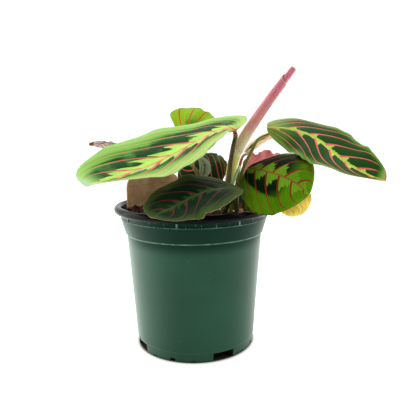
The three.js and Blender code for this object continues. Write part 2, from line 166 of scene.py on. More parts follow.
class Paint:
    """One material. Its methods add nodes and hand back the socket that holds their result."""

    def __init__(self, name, roughness, **sockets):
        self.material = bpy.data.materials.new(name)
        self.material.use_nodes = True
        self.tree = self.material.node_tree
        self.shader = self.tree.nodes["Principled BSDF"]
        self.set("Roughness", roughness)
        for socket, value in sockets.items():
            self.set(socket.replace("_", " "), value)

    def put(self, socket, value):
        """Links a result to a socket, or writes a plain value there. Three numbers on a colour
        socket are a colour as it looks on a screen."""
        if isinstance(value, bpy.types.NodeSocket):
            self.tree.links.new(value, socket)
        elif socket.type == "RGBA" and len(value) == 3:
            socket.default_value = srgb(*value)
        else:
            socket.default_value = value

    def set(self, socket, value):
        """Puts a value or a result on one of the shader's own sockets."""
        self.put(self.shader.inputs[socket], value)

    def node(self, kind, *values, **settings):
        """A node of one kind, with settings, and with values or results on its inputs in order."""
        made = self.tree.nodes.new(kind)
        for setting, value in settings.items():
            setattr(made, setting, value)
        for socket, value in zip(made.inputs, values):
            self.put(socket, value)
        return made

    def field(self, name):
        """The numbers that the mesh keeps under a name."""
        return self.node("ShaderNodeAttribute", attribute_name=name).outputs["Fac"]

    def calc(self, operation, *values):
        """Arithmetic on numbers, such as ADD, SUBTRACT, FRACT or ABSOLUTE."""
        return self.node("ShaderNodeMath", *values, operation=operation).outputs[0]

    def times(self, product, *values):
        """The product of two or more numbers."""
        for value in values:
            product = self.calc("MULTIPLY", product, value)
        return product

    def ramp(self, value, low, high, start=0.0, end=1.0):
        """Goes softly from start to end while value goes from low to high."""
        made = self.node("ShaderNodeMapRange", value, low, high, start, end,
                         interpolation_type="SMOOTHSTEP")
        return made.outputs[0]

    def vector(self, x, y, z=0.0):
        """A place made of three numbers."""
        return self.node("ShaderNodeCombineXYZ", x, y, z).outputs[0]

    def place(self):
        """The point's own place on the object, in metres."""
        return self.node("ShaderNodeTexCoord").outputs["Object"]

    def parts(self, vector):
        """The three numbers of a place."""
        return self.node("ShaderNodeSeparateXYZ", vector).outputs[:3]

    def noise(self, vector, scale, detail, roughness=0.5):
        """Soft random values from 0 to 1, with that many swells per unit."""
        made = self.node("ShaderNodeTexNoise", noise_dimensions="3D")
        for socket, value in (("Vector", vector), ("Scale", scale), ("Detail", detail),
                              ("Roughness", roughness)):
            self.put(made.inputs[socket], value)
        return made.outputs["Fac"]

    def mix(self, share, first, second, blend="MIX"):
        """One colour going over to another as share goes from 0 to 1."""
        made = self.node("ShaderNodeMix", data_type="RGBA", blend_type=blend)
        for socket, value in ((0, share), (6, first), (7, second)):
            self.put(made.inputs[socket], value)
        return made.outputs[2]

    def relief(self, height, depth_mm, strength):
        """Makes the surface look raised where height is large."""
        bump = self.node("ShaderNodeBump")
        for socket, value in (("Strength", strength), ("Distance", depth_mm * MM), ("Height", height)):
            self.put(bump.inputs[socket], value)
        self.set("Normal", bump.outputs[0])


print("helpers are ready")

# %% [markdown]
# ## The shape of a leaf
#
# A prayer plant's leaf is an oval sheet hung on a curved midrib. Its two halves fold and curl apart,
# the margin waves, and the tissue swells a little between the side veins. It could be sculpted or
# simulated. A formula is better here: the same one gives the solid in the frame and this finer skin,
# and it also knows where the veins run, so the markings fit the form.

# %% Leaf table
# rib: four points of the midrib in mm. half: the widest half in mm. share: how much of it the left and
# the right half have. blunt: the powers at base and tip. lobe: mm back past the stalk, left and right.
# wave: number, height in mm and start of the margin's waves. facing: where the upper face looks, at
# base and tip. fold and curl: degrees at base and tip, for the left and then the right half. roll:
# more curl close to the base, left and right.
LEAVES = {
    "left_leaf": {
        "rib": [[26, -26, 147.5], [9, -18, 145.5], [-26, -23, 130], [-61, -55, 117]],
        "half": 32, "share": [1.05, 1], "blunt": [0.8, 0.5], "lobe": [8, 5], "wave": [4, 0.8, 0.1],
        "facing": [[-0.4, -0.3, 0.9], [-0.4, -0.65, 0.65]],
        "fold": [[10, 10], [-5, 15]], "curl": [[-5, 0], [-35, 10]], "roll": [80, 120],
    },
    "right_leaf": {
        "rib": [[50, -4, 150], [79, -15, 143], [95, -24, 129], [119, -37, 116]],
        "half": 25, "share": [0.97, 1.02], "blunt": [0.6, 0.5], "lobe": [9, 1], "wave": [3, 1, 0.2],
        "facing": [[0.3, -0.6, 0.65], [0.15, -0.55, 0.8]],
        "fold": [[0, 15], [-5, 20]], "curl": [[-30, 10], [-40, 20]],
    },
    "front_leaf": {
        "rib": [[35, -21, 124], [46, -33, 122], [57.5, -43, 118], [69, -46, 109]],
        "half": 30, "share": [0.88, 0.92], "blunt": [0.6, 0.55], "lobe": [-1, 4], "wave": [3, 0.8, 0.4],
        "facing": [[0.1, -0.9, 0.45], [0.1, -0.9, 0.35]],
        "fold": [[5, 10], [5, 10]], "curl": [[-50, -55], [-35, -30]],
    },
    "low_leaf": {
        "rib": [[28, -39, 113], [5, -49, 112], [-10, -54, 106], [-24, -68, 101]],
        "half": 21, "share": [1.05, 0.95], "blunt": [0.55, 0.55], "lobe": [1, 1], "wave": [3, 0.8, 0.1],
        "facing": [[-0.6, -0.45, 0.65], [0, -0.5, 0.87]],
        "fold": [[5, 5], [10, 5]], "curl": [[-10, -5], [-10, -5]],
    },
    "lime_leaf": {
        "rib": [[-14, 40, 148], [-7, 36, 146], [2, 29, 142], [12, 21, 135]],
        "half": 23.5, "share": [1, 0.55], "blunt": [0.5, 0.5], "lobe": [12, 4], "wave": [3, 0.6, 0],
        "facing": [[-0.1, -0.97, 0.15], [0.15, -0.97, 0.18]],
        "fold": [[0, 0], [0, 0]], "curl": [[-20, -20], [-20, -20]],
    },
    "back_leaf": {
        "rib": [[20, 7, 111], [10, 12, 115], [1, 18, 121], [-7, 26, 127]],
        "half": 18.5, "share": [1, 1], "blunt": [0.5, 0.6], "lobe": [2, 3], "wave": [3, 0.6, 0.3],
        "facing": [[-0.05, -0.98, 0.15], [0, -0.95, 0.3]],
        "fold": [[5, 5], [7, 5]], "curl": [[-20, -20], [-25, -30]],
    },
    "pink_leaf": {
        "rib": [[35, 6, 121], [46, 11, 123], [57, 16, 123], [68, 20, 120]],
        "half": 13, "share": [1, 0.8], "blunt": [0.5, 0.6], "lobe": [2, 2], "wave": [4, 1.2, 0.3],
        "facing": [[0.1, 0.85, 0.5], [0.1, 0.85, 0.5]],
        "fold": [[10, 10], [5, 5]], "curl": [[20, 20], [20, 20]],
    },
    "yellow_leaf": {
        "rib": [[48, -15, 114], [55, -25, 109], [59, -32, 102], [59, -35, 94]],
        "half": 19, "share": [1.05, 0.6], "blunt": [0.5, 0.6], "lobe": [2, 2], "wave": [4, 1, 0.3],
        "facing": [[0.1, -0.9, 0.35], [0.35, -0.9, 0.15]],
        "fold": [[0, 0], [0, 0]], "curl": [[-15, -20], [-20, -20]],
    },
    "young_leaf": {
        "rib": [[37, 4, 133], [44.5, 5, 138], [52, 7, 142], [62, 9, 145]],
        "half": 8, "share": [1, 0.9], "blunt": [0.4, 0.7], "lobe": [0, 0], "wave": [3, 0.6, 0.3],
        "facing": [[0.2, -0.75, 0.6], [0, -0.75, 0.6]],
        "fold": [[40, 40], [30, 30]], "curl": [[110, 110], [90, 90]],
    },
    "dry_leaf": {
        "rib": [[-53, 31, 132], [-60, 31, 135], [-68, 30, 137], [-77, 29, 139]],
        "half": 6, "share": [1, 0.9], "blunt": [0.4, 0.7], "lobe": [0, 0], "wave": [3, 0.6, 0.3],
        "facing": [[0, -0.5, 0.85], [0, -0.5, 0.85]],
        "fold": [[50, 50], [40, 40]], "curl": [[100, 110], [100, 110]],
    },
    "small_leaf": {
        "rib": [[5, 8, 116.5], [6.2, 7.5, 120.5], [6, 7.5, 124.5], [4, 8, 129]],
        "half": 5, "share": [0.5, 1.1], "blunt": [0.5, 0.6], "lobe": [0, 0], "wave": [3, 0.4, 0.3],
        "facing": [[0.1, -0.9, 0.1], [0.1, -0.9, 0.1]],
        "fold": [[25, 25], [10, 10]], "curl": [[40, 40], [25, 25]],
    },
}
# mm of half width where the oval has none left, and the power by which the roll fades
MARGIN = 0.8
ROLL_FADE = 8
print("leaves:", len(LEAVES))

# %% Leaf formula
def through(points, t):
    """The cubic curve through four points, which it meets at 0, one third, two thirds and 1."""
    knots = np.array([0, 1 / 3, 2 / 3, 1])
    total = 0
    for i, point in enumerate(np.array(points, float)):
        others = np.delete(knots, i)
        weight = np.prod((t[..., None] - others) / (knots[i] - others), axis=-1)
        total = total + weight[..., None] * point
    return total


def leaf_frame(leaf, t):
    """Along is the midrib's direction, up the leaf's facing made square to it, across their product."""
    along = unit(through(leaf["rib"], t + 1e-3) - through(leaf["rib"], t - 1e-3))
    base, tip = unit(np.array(leaf["facing"], float))
    up = base + (tip - base) * t[..., None]
    up = unit(up - (up * along).sum(-1, keepdims=True) * along)
    return along, up, np.cross(along, up)


def two_sided(pair, s):
    """The first value on the left half, where s is negative, and the second on the right."""
    return np.where(s > 0, pair[1], pair[0])


def between(pairs, t, s):
    """A value that goes evenly from base to tip, given for the left and the right half."""
    base = two_sided([pairs[0][0], pairs[1][0]], s)
    tip = two_sided([pairs[0][1], pairs[1][1]], s)
    return base + (tip - base) * t


def half_width(leaf, t, s):
    """t to one power times (1 - t) to another, scaled to 1 at its top, times the widest half."""
    base, tip = leaf["blunt"]
    widest = base / (base + tip)
    shape = (t / widest) ** base * ((1 - t) / (1 - widest)) ** tip
    return leaf["half"] * shape * two_sided(leaf["share"], s) + MARGIN


def leaf_points(leaf, t, s):
    """The midrib's point, plus the half's chord turned up by fold and half its curl, plus the waves
    of the margin, minus the lobe that reaches back past the stalk."""
    along, up, across = leaf_frame(leaf, t)
    reach = np.abs(s)
    roll = two_sided(leaf.get("roll", [0, 0]), s) * (1 - t) ** ROLL_FADE
    curl = np.radians(between(leaf["curl"], t, s) + roll) * reach / 2
    angle = np.radians(between(leaf["fold"], t, s)) + curl
    chord = half_width(leaf, t, s) * reach * np.sinc(curl / np.pi)
    waves, height, phase = leaf["wave"]
    turns = waves * t + phase * np.where(s > 0, 1, -1)
    ripple = height * reach ** 2 * np.sin(2 * np.pi * turns) * np.sin(np.pi * t)
    lobe = 2 * (1 - t) ** 4 * (1 - (1 - t) ** 12) * two_sided(leaf["lobe"], s) * reach ** 1.5
    sideways = (np.sign(s) * chord * np.cos(angle))[..., None] * across
    raised = (chord * np.sin(angle) + ripple)[..., None] * up
    return through(leaf["rib"], t) + sideways + raised - lobe[..., None] * along


def vein_start(t, s, sweep):
    """Where on the midrib the vein through a point began: the number u for which t equals u plus the
    sweep of a vein that leaves steeply and bends on towards the tip. Found by repeated correction."""
    reach = np.abs(s)
    start = t.copy()
    for _ in range(10):
        start = t - sweep * (0.45 * reach + 0.55 * reach ** 2) * (1 - 0.35 * start)
    return start


left_rib = through(LEAVES["left_leaf"]["rib"], np.linspace(0, 1, 50))
left_length = np.linalg.norm(np.diff(left_rib, axis=0), axis=1).sum()
print("left leaf is", round(float(left_length)), "mm long")

# %% [markdown]
# ## The blade as a closed skin
#
# A real blade is thin, so its two faces are the same surface a third of a millimetre apart, with a
# round ridge along the midrib below and a margin that is a little uneven, and in places torn.
# Solidify could give it thickness. Making both faces by hand keeps the fields for the paint and lets
# the ridge, the bites and the swelling between veins go in directly.

# %% Blade builder
# rows lie closer at base and tip, and the thickness and the ridge are in mm
ALONG_STEPS = 130
CLOSER_AT_ENDS = 0.1
SIDE_STATIONS = np.concatenate([[0.004], np.linspace(0.03, 1, 27)])
ACROSS = np.concatenate([-SIDE_STATIONS[::-1], SIDE_STATIONS])
THICK, RIDGE, RIDGE_WIDTH = 0.35, 1.2, 0.9
UNEVEN = 0.016


def blade(name, leaf, look):
    """Upper points are the leaf formula raised by the quilt; lower points lie one thickness below.
    Reach counts from the real midrib, which may swing to one side of the middle line: s is then the
    column's place plus that swing, which fades towards the margins."""
    even = np.linspace(0, 1, ALONG_STEPS)
    crowded = even - CLOSER_AT_ENDS * np.sin(2 * np.pi * even)
    t, column = np.meshgrid(crowded, ACROSS, indexing="ij")
    reach = np.abs(column)
    s = column + look["midrib_swing"] * np.sin(np.pi * t ** 1.7) * (1 - reach)
    notch = np.zeros_like(t)
    for middle, side, spread, depth in look["bites"]:
        notch += depth * np.exp(-((t - middle) / spread) ** 4) * (np.sign(column) == side) * reach ** 8
    ragged = np.sin(2 * np.pi * (5.3 * t + 0.2)) + np.sin(2 * np.pi * (8.7 * t + 0.45 * np.sign(column)))
    uneven = UNEVEN * ragged * reach ** 4 * np.sin(np.pi * t)
    upper = leaf_points(leaf, t, s * (1 - notch + uneven))
    down = np.gradient(upper, axis=0)
    right = np.gradient(upper, axis=1)
    normal = unit(np.cross(right, down))
    start = vein_start(t, column, look["sweep"])
    phase = start * look["veins"] + two_sided(look["shift"], column)
    phase = phase + look["arch"] * 4 * reach * (1 - reach)
    quilt = look["quilt"] * (np.abs(np.sin(np.pi * phase)) - 1) * np.sin(np.pi * reach ** 0.7)
    upper = upper + quilt[..., None] * normal
    distance = half_width(leaf, t, column) * reach
    ridge = RIDGE * (1 - 0.8 * t) * np.exp(-(distance / RIDGE_WIDTH) ** 2)
    thickness = THICK * (1 - 0.5 * reach ** 6) + ridge
    rings = closed(upper, upper - thickness[..., None] * normal)
    fields = {"phase": phase, "reach": reach, "along": t, "rib": distance, "right_half": (column > 0) * 1.0}
    fields = {field: closed(values, values) for field, values in fields.items()}
    fields["under"] = closed(np.zeros_like(t), np.ones_like(t))
    return put_mesh(name, rings, ring_faces(*rings.shape[:2]), fields)


print("a blade's points:", ALONG_STEPS, "along,", 2 * len(ACROSS), "round")

# %% [markdown]
# ## The paint of a leaf
#
# The markings follow a plan. Red veins leave the midrib and sweep to the margin. Along the midrib lies
# a pale band whose edge ends in fingers between the veins. Beyond it stands a dark block, which frays
# out into the paler green of the margin. All of it is drawn from two numbers kept at each point: the
# vein count, whose whole values are veins, and the reach from midrib to margin. A picture could be
# wrapped on, but drawn this way the markings stay sharp at any size. A crumpled young or dry leaf has
# streaks along it as well, and some leaves have a tip that has turned pale or brown.

# %% Leaf marks
def halves(paint, look, key):
    """One factor on the left half of a blade and another on the right."""
    return paint.ramp(paint.field("right_half"), 0.0, 1.0, *look[key])


def past_vein(paint, phase, reach):
    """How far a point lies past the vein behind it, in shares of the way to the next: the vein
    count's fraction, after a slow wander is added. The wander is handed back too."""
    wander = paint.noise(paint.vector(paint.times(phase, 1.6), reach), 4.0, 1.0)
    wander = paint.calc("SUBTRACT", wander, 0.5)
    return paint.calc("FRACT", paint.calc("ADD", phase, paint.times(wander, 0.06))), wander


def pale_band(paint, look, phase, reach, along, share, wander):
    """1 inside the band along the midrib. Its edge lies one step out, plus a lobe that is long near
    the vein behind, plus the teeth of a leaning saw, which are the fingers. It narrows at the tip."""
    leaning = paint.calc("SUBTRACT", share, paint.times(reach, look["lean"]))
    saw = paint.calc("FRACT", paint.times(leaning, look["fingers"]))
    tooth = paint.calc("ABSOLUTE", paint.calc("MULTIPLY_ADD", saw, 2.0, -1.0))
    uneven = paint.noise(paint.vector(paint.times(phase, 2.3), 0.0), 1.0, 0.0)
    tooth = paint.times(tooth, paint.ramp(uneven, 0.3, 0.7, 0.35, 1.5))
    step, span, cut = look["band"]
    lobe = paint.ramp(share, 0.0, look["lobe_end"], span, span * 0.2)
    jag = paint.calc("MULTIPLY_ADD", tooth, cut, step)
    edge = paint.calc("ADD", paint.calc("ADD", lobe, jag), paint.times(wander, 0.1))
    edge = paint.times(edge, paint.ramp(along, 1.0, 0.8, 0.35, 1.0), halves(paint, look, "band_halves"))
    return paint.ramp(paint.calc("SUBTRACT", reach, edge), 0.012, -0.012)


def dark_block(paint, look, phase, reach, along, share):
    """How dark and how faded a point is. The block ends at a share of the reach, which slants from
    vein to vein and frays into threads along them. It is weaker towards base and tip."""
    threads = paint.noise(paint.vector(paint.times(phase, 9.0), reach), 1.0, 3.0, 0.7)
    fray = paint.calc("MULTIPLY_ADD", paint.calc("SUBTRACT", threads, 0.5), look["ragged"], reach)
    end, soft = look["dark_end"]
    end = paint.calc("MULTIPLY_ADD", share, look["slant"], end)
    past_dark = paint.calc("SUBTRACT", fray, paint.times(end, halves(paint, look, "dark_halves")))
    present = paint.times(paint.ramp(along, *look["dark_from"]), paint.ramp(along, *look["dark_until"]))
    dark = paint.times(paint.ramp(past_dark, soft, -soft), present)
    fade = paint.times(paint.ramp(past_dark, soft + look["fade_width"], -0.02), present)
    return dark, fade


def side_vein(paint, look, reach, along, share):
    """1 in the middle of a side vein: the way to the nearest vein over a width that shrinks towards
    the margin. Veins run out before the margin, the base and the tip."""
    to_vein = paint.calc("MINIMUM", share, paint.calc("SUBTRACT", 1.0, share))
    wide = paint.ramp(reach, 0.0, 0.9, look["vein_width"], look["vein_width"] * 0.7)
    thin = paint.calc("DIVIDE", to_vein, paint.times(wide, halves(paint, look, "vein_halves")))
    vein = paint.times(paint.ramp(thin, 1.0, 0.55), paint.ramp(reach, 1.0, 0.93))
    ends = paint.times(paint.ramp(along, 0.99, 0.9), paint.ramp(along, 0.0, 0.03))
    return paint.times(vein, ends, look["vein_show"])


print("marks: band, block and veins")

# %% Leaf paint
def leaf_paint(name, look):
    """Layers from the margin's green inwards: fade, dark block, band, fine lines, clouds, rim, veins,
    midrib and a painted shade that darkens the base, then the underside, and on some leaves streaks
    and a turned tip."""
    gloss = look["gloss"]
    paint = Paint(name, gloss, Specular_IOR_Level=look["shine"], Subsurface_Weight=0.1)
    paint.set("Subsurface Radius", (0.4 * MM, 0.8 * MM, 0.2 * MM))
    paint.set("Subsurface Scale", 1.0)
    phase, reach, along, rib = (paint.field(n) for n in ("phase", "reach", "along", "rib"))
    share, wander = past_vein(paint, phase, reach)
    dark, fade = dark_block(paint, look, phase, reach, along, share)
    band = pale_band(paint, look, phase, reach, along, share, wander)
    colour = paint.mix(fade, look["margin"], look["fade"])
    colour = paint.mix(dark, colour, look["dark"])
    colour = paint.mix(band, colour, look["band_colour"])
    # fine lines along the veins and slow swings of the green
    lines = paint.noise(paint.vector(paint.times(phase, 26.0), reach), 1.0, 2.0)
    colour = paint.mix(paint.ramp(lines, 0.35, 0.7, 0.0, 0.5), colour, look["line"], "MULTIPLY")
    cloud = paint.noise(paint.place(), 90.0, 3.0)
    colour = paint.mix(paint.ramp(cloud, 0.45, 0.75, 0.0, 0.35), colour, look["cloud"])
    # rim, veins, midrib, and a painted shade that darkens the base
    colour = paint.mix(paint.ramp(reach, 0.955, 0.99), colour, look["rim"])
    vein = side_vein(paint, look, reach, along, share)
    colour = paint.mix(vein, colour, look["vein"])
    rib_edge = look["rib_width"]
    midrib = paint.times(paint.ramp(rib, rib_edge, rib_edge * 0.5), paint.ramp(along, 1.0, 0.85))
    colour = paint.mix(midrib, colour, look["midrib"])
    shade = paint.ramp(along, 0.4, 0.0, 0.0, look["base_shade"])
    colour = paint.mix(shade, colour, (84, 104, 60), "MULTIPLY")
    # the underside, dusty and paler, with the veins showing through
    below = paint.mix(paint.times(vein, 0.6), look["below"], look["below_vein"])
    below = paint.mix(paint.ramp(cloud, 0.4, 0.7, 0.0, 0.5), below, look["below_cloud"])
    colour = paint.mix(paint.field("under"), colour, below)
    if "streak" in look:
        stretched = paint.vector(paint.times(reach, 7.0), paint.times(along, 4.0))
        streaks = paint.noise(stretched, 1.0, 3.0)
        colour = paint.mix(paint.ramp(streaks, 0.56, 0.61, 0.0, 0.85), colour, look["streak"])
        colour = paint.mix(paint.ramp(streaks, 0.48, 0.42, 0.0, 0.85), colour, look["pale_streak"])
    if "tip" in look:
        start, full, tip = look["tip"]
        colour = paint.mix(paint.ramp(along, start, full), colour, tip)
    paint.set("Base Color", colour)
    paint.set("Roughness", paint.ramp(lines, 0.2, 0.8, gloss - 0.06, gloss + 0.06))
    grain = paint.noise(paint.place(), 2500.0, 2.0)
    paint.relief(paint.calc("MULTIPLY_ADD", grain, 0.25, lines), 0.12, 0.35)
    return paint


print("layers: margin, fade, block, band, lines, veins, midrib, underside")

# %% [markdown]
# ## What each leaf looks like
#
# No two leaves are marked alike: the large left one has mint margins, the right one is nearly all
# dark, the front one is bright and glossy, and the lime one is painted bright lime, partly its own
# colour and partly painted light that stands in for light shining through it from behind. The tables
# below give the shares and colours that the paint above reads: first what most leaves have in common,
# then what each has of its own. A function for each leaf would repeat the same layers eleven times.

# %% Usual look
USUAL_LOOK = dict(
    # veins: where their count starts on each half, how far they sweep and bow, how much they show,
    # then the midrib's swing to one side and half its width in mm
    shift=[0.3, 0.0], sweep=0.55, arch=0, vein_halves=(1.0, 1.0), vein_show=1.0,
    midrib_swing=0, rib_width=0.75,
    # pale band: where its lobes end, how its fingers lean, and their number from vein to vein
    lobe_end=1.0, lean=0.5, fingers=2.0, band_halves=(1.0, 1.0),
    # dark block: the slant of its end, the fade beyond it, and where along the leaf it comes and goes
    slant=0.0, fade_width=0.3, dark_halves=(1.0, 1.0), dark_from=(0.0, 0.08), dark_until=(0.98, 0.85),
    # surface: swelling between veins in mm, roughness, specular level, and how dark the painted shade at the
    # base is
    quilt=0.25, gloss=0.42, shine=0.2, base_shade=0.0,
    # bites out of the margin: place along the leaf, side, spread and depth of each
    bites=[],
    # the underside: its ground, its veins and its clouds
    below=(178, 110, 108), below_vein=(150, 70, 75), below_cloud=(165, 120, 100),
)
print("usual values:", len(USUAL_LOOK))

# %% Looks of the large leaves
# veins: their number on each half. vein_width: a share of the way from one to the next. band: its step,
# the span of its lobes and the cut of its fingers, in shares of the reach. dark_end: where the block
# ends, and how softly. ragged: how far it frays. tip: where it starts to turn, where it has, and the
# colour. All colours are as they look on a screen.
LOOKS = {
    "left_leaf": dict(
        veins=6, shift=[0.1, 0.5], vein_width=0.075, sweep=0.68, midrib_swing=-0.24,
        band=(0.12, 0.12, 0.15), lean=0.8, lobe_end=0.9, fingers=1.6, band_halves=(0.55, 1.0),
        dark_end=(0.55, 0.08), dark_halves=(0.62, 1.0), ragged=0.8, slant=0.15, fade_width=0.34,
        dark_from=(0.08, 0.18), dark_until=(0.98, 0.88), rib_width=1.1, shine=0.05,
        vein_halves=(1.7, 1.0), tip=(0.955, 0.99, (196, 218, 176)),
        margin=(184, 230, 128), fade=(108, 188, 52), dark=(8, 76, 20),
        band_colour=(198, 244, 110), line=(176, 214, 156), cloud=(140, 212, 96),
        rim=(140, 206, 100), vein=(232, 108, 92), midrib=(236, 128, 102),
        below=(172, 128, 112), below_vein=(150, 78, 78), below_cloud=(140, 140, 96),
    ),
    "right_leaf": dict(
        veins=5.6, shift=[0.45, 0.05], vein_width=0.095, band=(0.02, 0.2, 0.02), lean=0.7, lobe_end=0.4,
        fingers=1.0, dark_end=(0.84, 0.08), ragged=0.3, fade_width=0.16, dark_from=(0.0, 0.28),
        dark_until=(0.98, 0.93), tip=(0.965, 0.99, (190, 170, 110)),
        margin=(130, 188, 72), fade=(70, 136, 28), dark=(26, 80, 8),
        band_colour=(206, 248, 92), line=(150, 190, 140), cloud=(38, 98, 14),
        rim=(130, 180, 90), vein=(248, 112, 112), midrib=(216, 210, 96),
        gloss=0.45, shine=0.08,
    ),
    "front_leaf": dict(
        veins=5.2, shift=[-0.08, 0.32], vein_width=0.09, band=(0.04, 0.26, 0.07), lean=0.45, lobe_end=0.95,
        fingers=3.0, dark_end=(0.56, 0.03), dark_halves=(1.35, 0.95), ragged=0.06, fade_width=0.05,
        dark_from=(0.0, 0.06), dark_until=(0.74, 0.56), base_shade=0.8,
        margin=(96, 150, 8), fade=(58, 108, 4), dark=(2, 32, 4),
        band_colour=(124, 178, 34), line=(120, 160, 90), cloud=(62, 108, 6),
        rim=(58, 72, 12), vein=(144, 38, 30), midrib=(150, 92, 48),
        gloss=0.5, shine=0.03,
    ),
    "low_leaf": dict(
        veins=5, vein_width=0.068, band=(0.0, 0.1, 0.12), lean=0.6,
        midrib_swing=-0.08, dark_end=(0.6, 0.06), ragged=0.45, slant=0.15, fade_width=0.2,
        dark_from=(0.05, 0.15), dark_until=(0.98, 0.88),
        margin=(64, 96, 38), fade=(38, 72, 34), dark=(14, 46, 26),
        band_colour=(50, 88, 32), line=(160, 190, 160), cloud=(44, 74, 36),
        rim=(104, 124, 60), vein=(120, 50, 52), midrib=(76, 96, 54),
        gloss=0.45, shine=0.06, bites=[(0.62, -1, 0.008, 0.08)],
    ),
}
print("large leaves:", len(LOOKS))

# %% Looks of the leaves behind
LOOKS |= {
    # painted light: the lime leaf's bright colours stand partly for light shining through it from behind
    "lime_leaf": dict(
        veins=6.3, shift=[0.3, 0.35], vein_width=0.11, sweep=-0.08, arch=0.4, band=(0.05, 0.15, 0.1),
        dark_end=(0.5, 0.1), ragged=0.4, fade_width=0.2, dark_from=(0.2, 0.4), dark_until=(0.98, 0.9),
        margin=(172, 216, 10), fade=(130, 184, 8), dark=(82, 134, 10),
        band_colour=(190, 226, 24), line=(170, 200, 130), cloud=(112, 166, 8),
        rim=(120, 172, 20), vein=(214, 92, 50), midrib=(160, 190, 60),
        gloss=0.45,
    ),
    "back_leaf": dict(
        veins=4.2, vein_width=0.09, sweep=0.75, band=(0.02, 0.05, 0.05),
        dark_end=(0.7, 0.1), ragged=0.3, fade_width=0.2, dark_from=(0.0, 0.1), dark_until=(0.98, 0.9),
        margin=(36, 96, 28), fade=(24, 76, 22), dark=(12, 50, 16),
        band_colour=(34, 86, 28), line=(160, 190, 160), cloud=(28, 82, 26),
        rim=(56, 106, 40), vein=(226, 86, 86), midrib=(120, 110, 60),
        shine=0.12,
    ),
    "pink_leaf": dict(
        veins=6, vein_width=0.07, band=(0.05, 0.15, 0.1),
        dark_end=(0.6, 0.1), ragged=0.3,
        margin=(110, 140, 60), fade=(80, 120, 50), dark=(30, 60, 30),
        band_colour=(130, 160, 70), line=(180, 190, 150), cloud=(120, 120, 60),
        rim=(120, 130, 50), vein=(170, 70, 70), midrib=(190, 120, 110), gloss=0.4,
        below=(206, 118, 118), below_vein=(230, 176, 150), below_cloud=(184, 98, 100),
        bites=[(0.3, 1, 0.03, 0.2), (0.62, 1, 0.05, 0.12), (0.45, -1, 0.04, 0.15)],
    ),
    "yellow_leaf": dict(
        veins=7, vein_width=0.12, band=(0.02, 0.1, 0.1),
        dark_end=(0.3, 0.2), ragged=0.5,
        margin=(242, 232, 92), fade=(226, 216, 76), dark=(204, 204, 60),
        band_colour=(236, 226, 104), line=(225, 205, 150), cloud=(228, 186, 80),
        rim=(176, 180, 40), vein=(226, 132, 92), midrib=(220, 180, 100), gloss=0.5,
        below=(220, 200, 110), below_vein=(215, 140, 105), below_cloud=(200, 180, 80),
        bites=[(0.9, 1, 0.03, 0.3)],
    ),
}
print("and those behind them:", len(LOOKS))

# %% Looks of the smallest leaves
LOOKS |= {
    "young_leaf": dict(
        veins=6, vein_width=0.3, sweep=0.8, band=(0.1, 0.2, 0.1),
        dark_end=(0.5, 0.2), ragged=0.5,
        margin=(232, 232, 160), fade=(206, 214, 130), dark=(170, 186, 100),
        band_colour=(238, 236, 176), line=(214, 200, 150), cloud=(205, 190, 120),
        rim=(176, 92, 72), vein=(204, 84, 84), midrib=(214, 150, 120), gloss=0.45,
        below=(254, 248, 196), below_vein=(206, 84, 86), below_cloud=(236, 228, 150),
        streak=(216, 110, 104), pale_streak=(255, 250, 214), quilt=0.5,
    ),
    "dry_leaf": dict(
        veins=6, vein_width=0.2, band=(0.1, 0.2, 0.1),
        dark_end=(0.5, 0.2), ragged=0.6,
        margin=(226, 222, 196), fade=(190, 186, 144), dark=(140, 120, 84),
        band_colour=(222, 216, 190), line=(190, 150, 120), cloud=(170, 150, 104),
        rim=(98, 66, 32), vein=(190, 90, 84), midrib=(190, 150, 120), gloss=0.6,
        below=(222, 184, 186), below_vein=(160, 90, 90), below_cloud=(196, 150, 150),
        streak=(74, 40, 36), pale_streak=(222, 226, 196), tip=(0.87, 0.92, (120, 74, 30)),
        quilt=0.6, bites=[(0.75, 1, 0.05, 0.4), (0.55, -1, 0.05, 0.3)],
    ),
    "small_leaf": dict(
        veins=5, vein_width=0.08, band=(0.05, 0.1, 0.1),
        dark_end=(0.3, 0.15), ragged=0.9, vein_show=0.5, shine=0.1,
        margin=(186, 212, 184), fade=(134, 172, 140), dark=(48, 92, 66),
        band_colour=(204, 214, 190), line=(205, 215, 205), cloud=(196, 206, 186),
        rim=(120, 150, 120), vein=(190, 110, 110), midrib=(190, 200, 160), gloss=0.45,
        quilt=0.1,
    ),
}
print("all leaves:", len(LOOKS))

# %% Leaves
SLOTS = {
    "left_leaf": "mint_leaf", "right_leaf": "dark_leaf", "front_leaf": "glossy_leaf",
    "low_leaf": "shaded_leaf", "small_leaf": "pale_leaf",
}
for name, leaf in LEAVES.items():
    look = USUAL_LOOK | LOOKS[name]
    piece = blade(name + "_blade", leaf, look)
    finish_piece(piece, SLOTS.get(name, name), leaf_paint(name + "_paint", look), name)

# %% [markdown]
# ## Stalks and sheaths
#
# Every leaf hangs on a thin round stalk that rises from the soil, and the youngest stalks still stand
# in pale sheaths. A curve object with a bevel could draw them. Here a ring of points is carried along
# a smooth curve through the same few points as the solids, so that each stalk fills its hole in the
# soil and ends under its leaf.

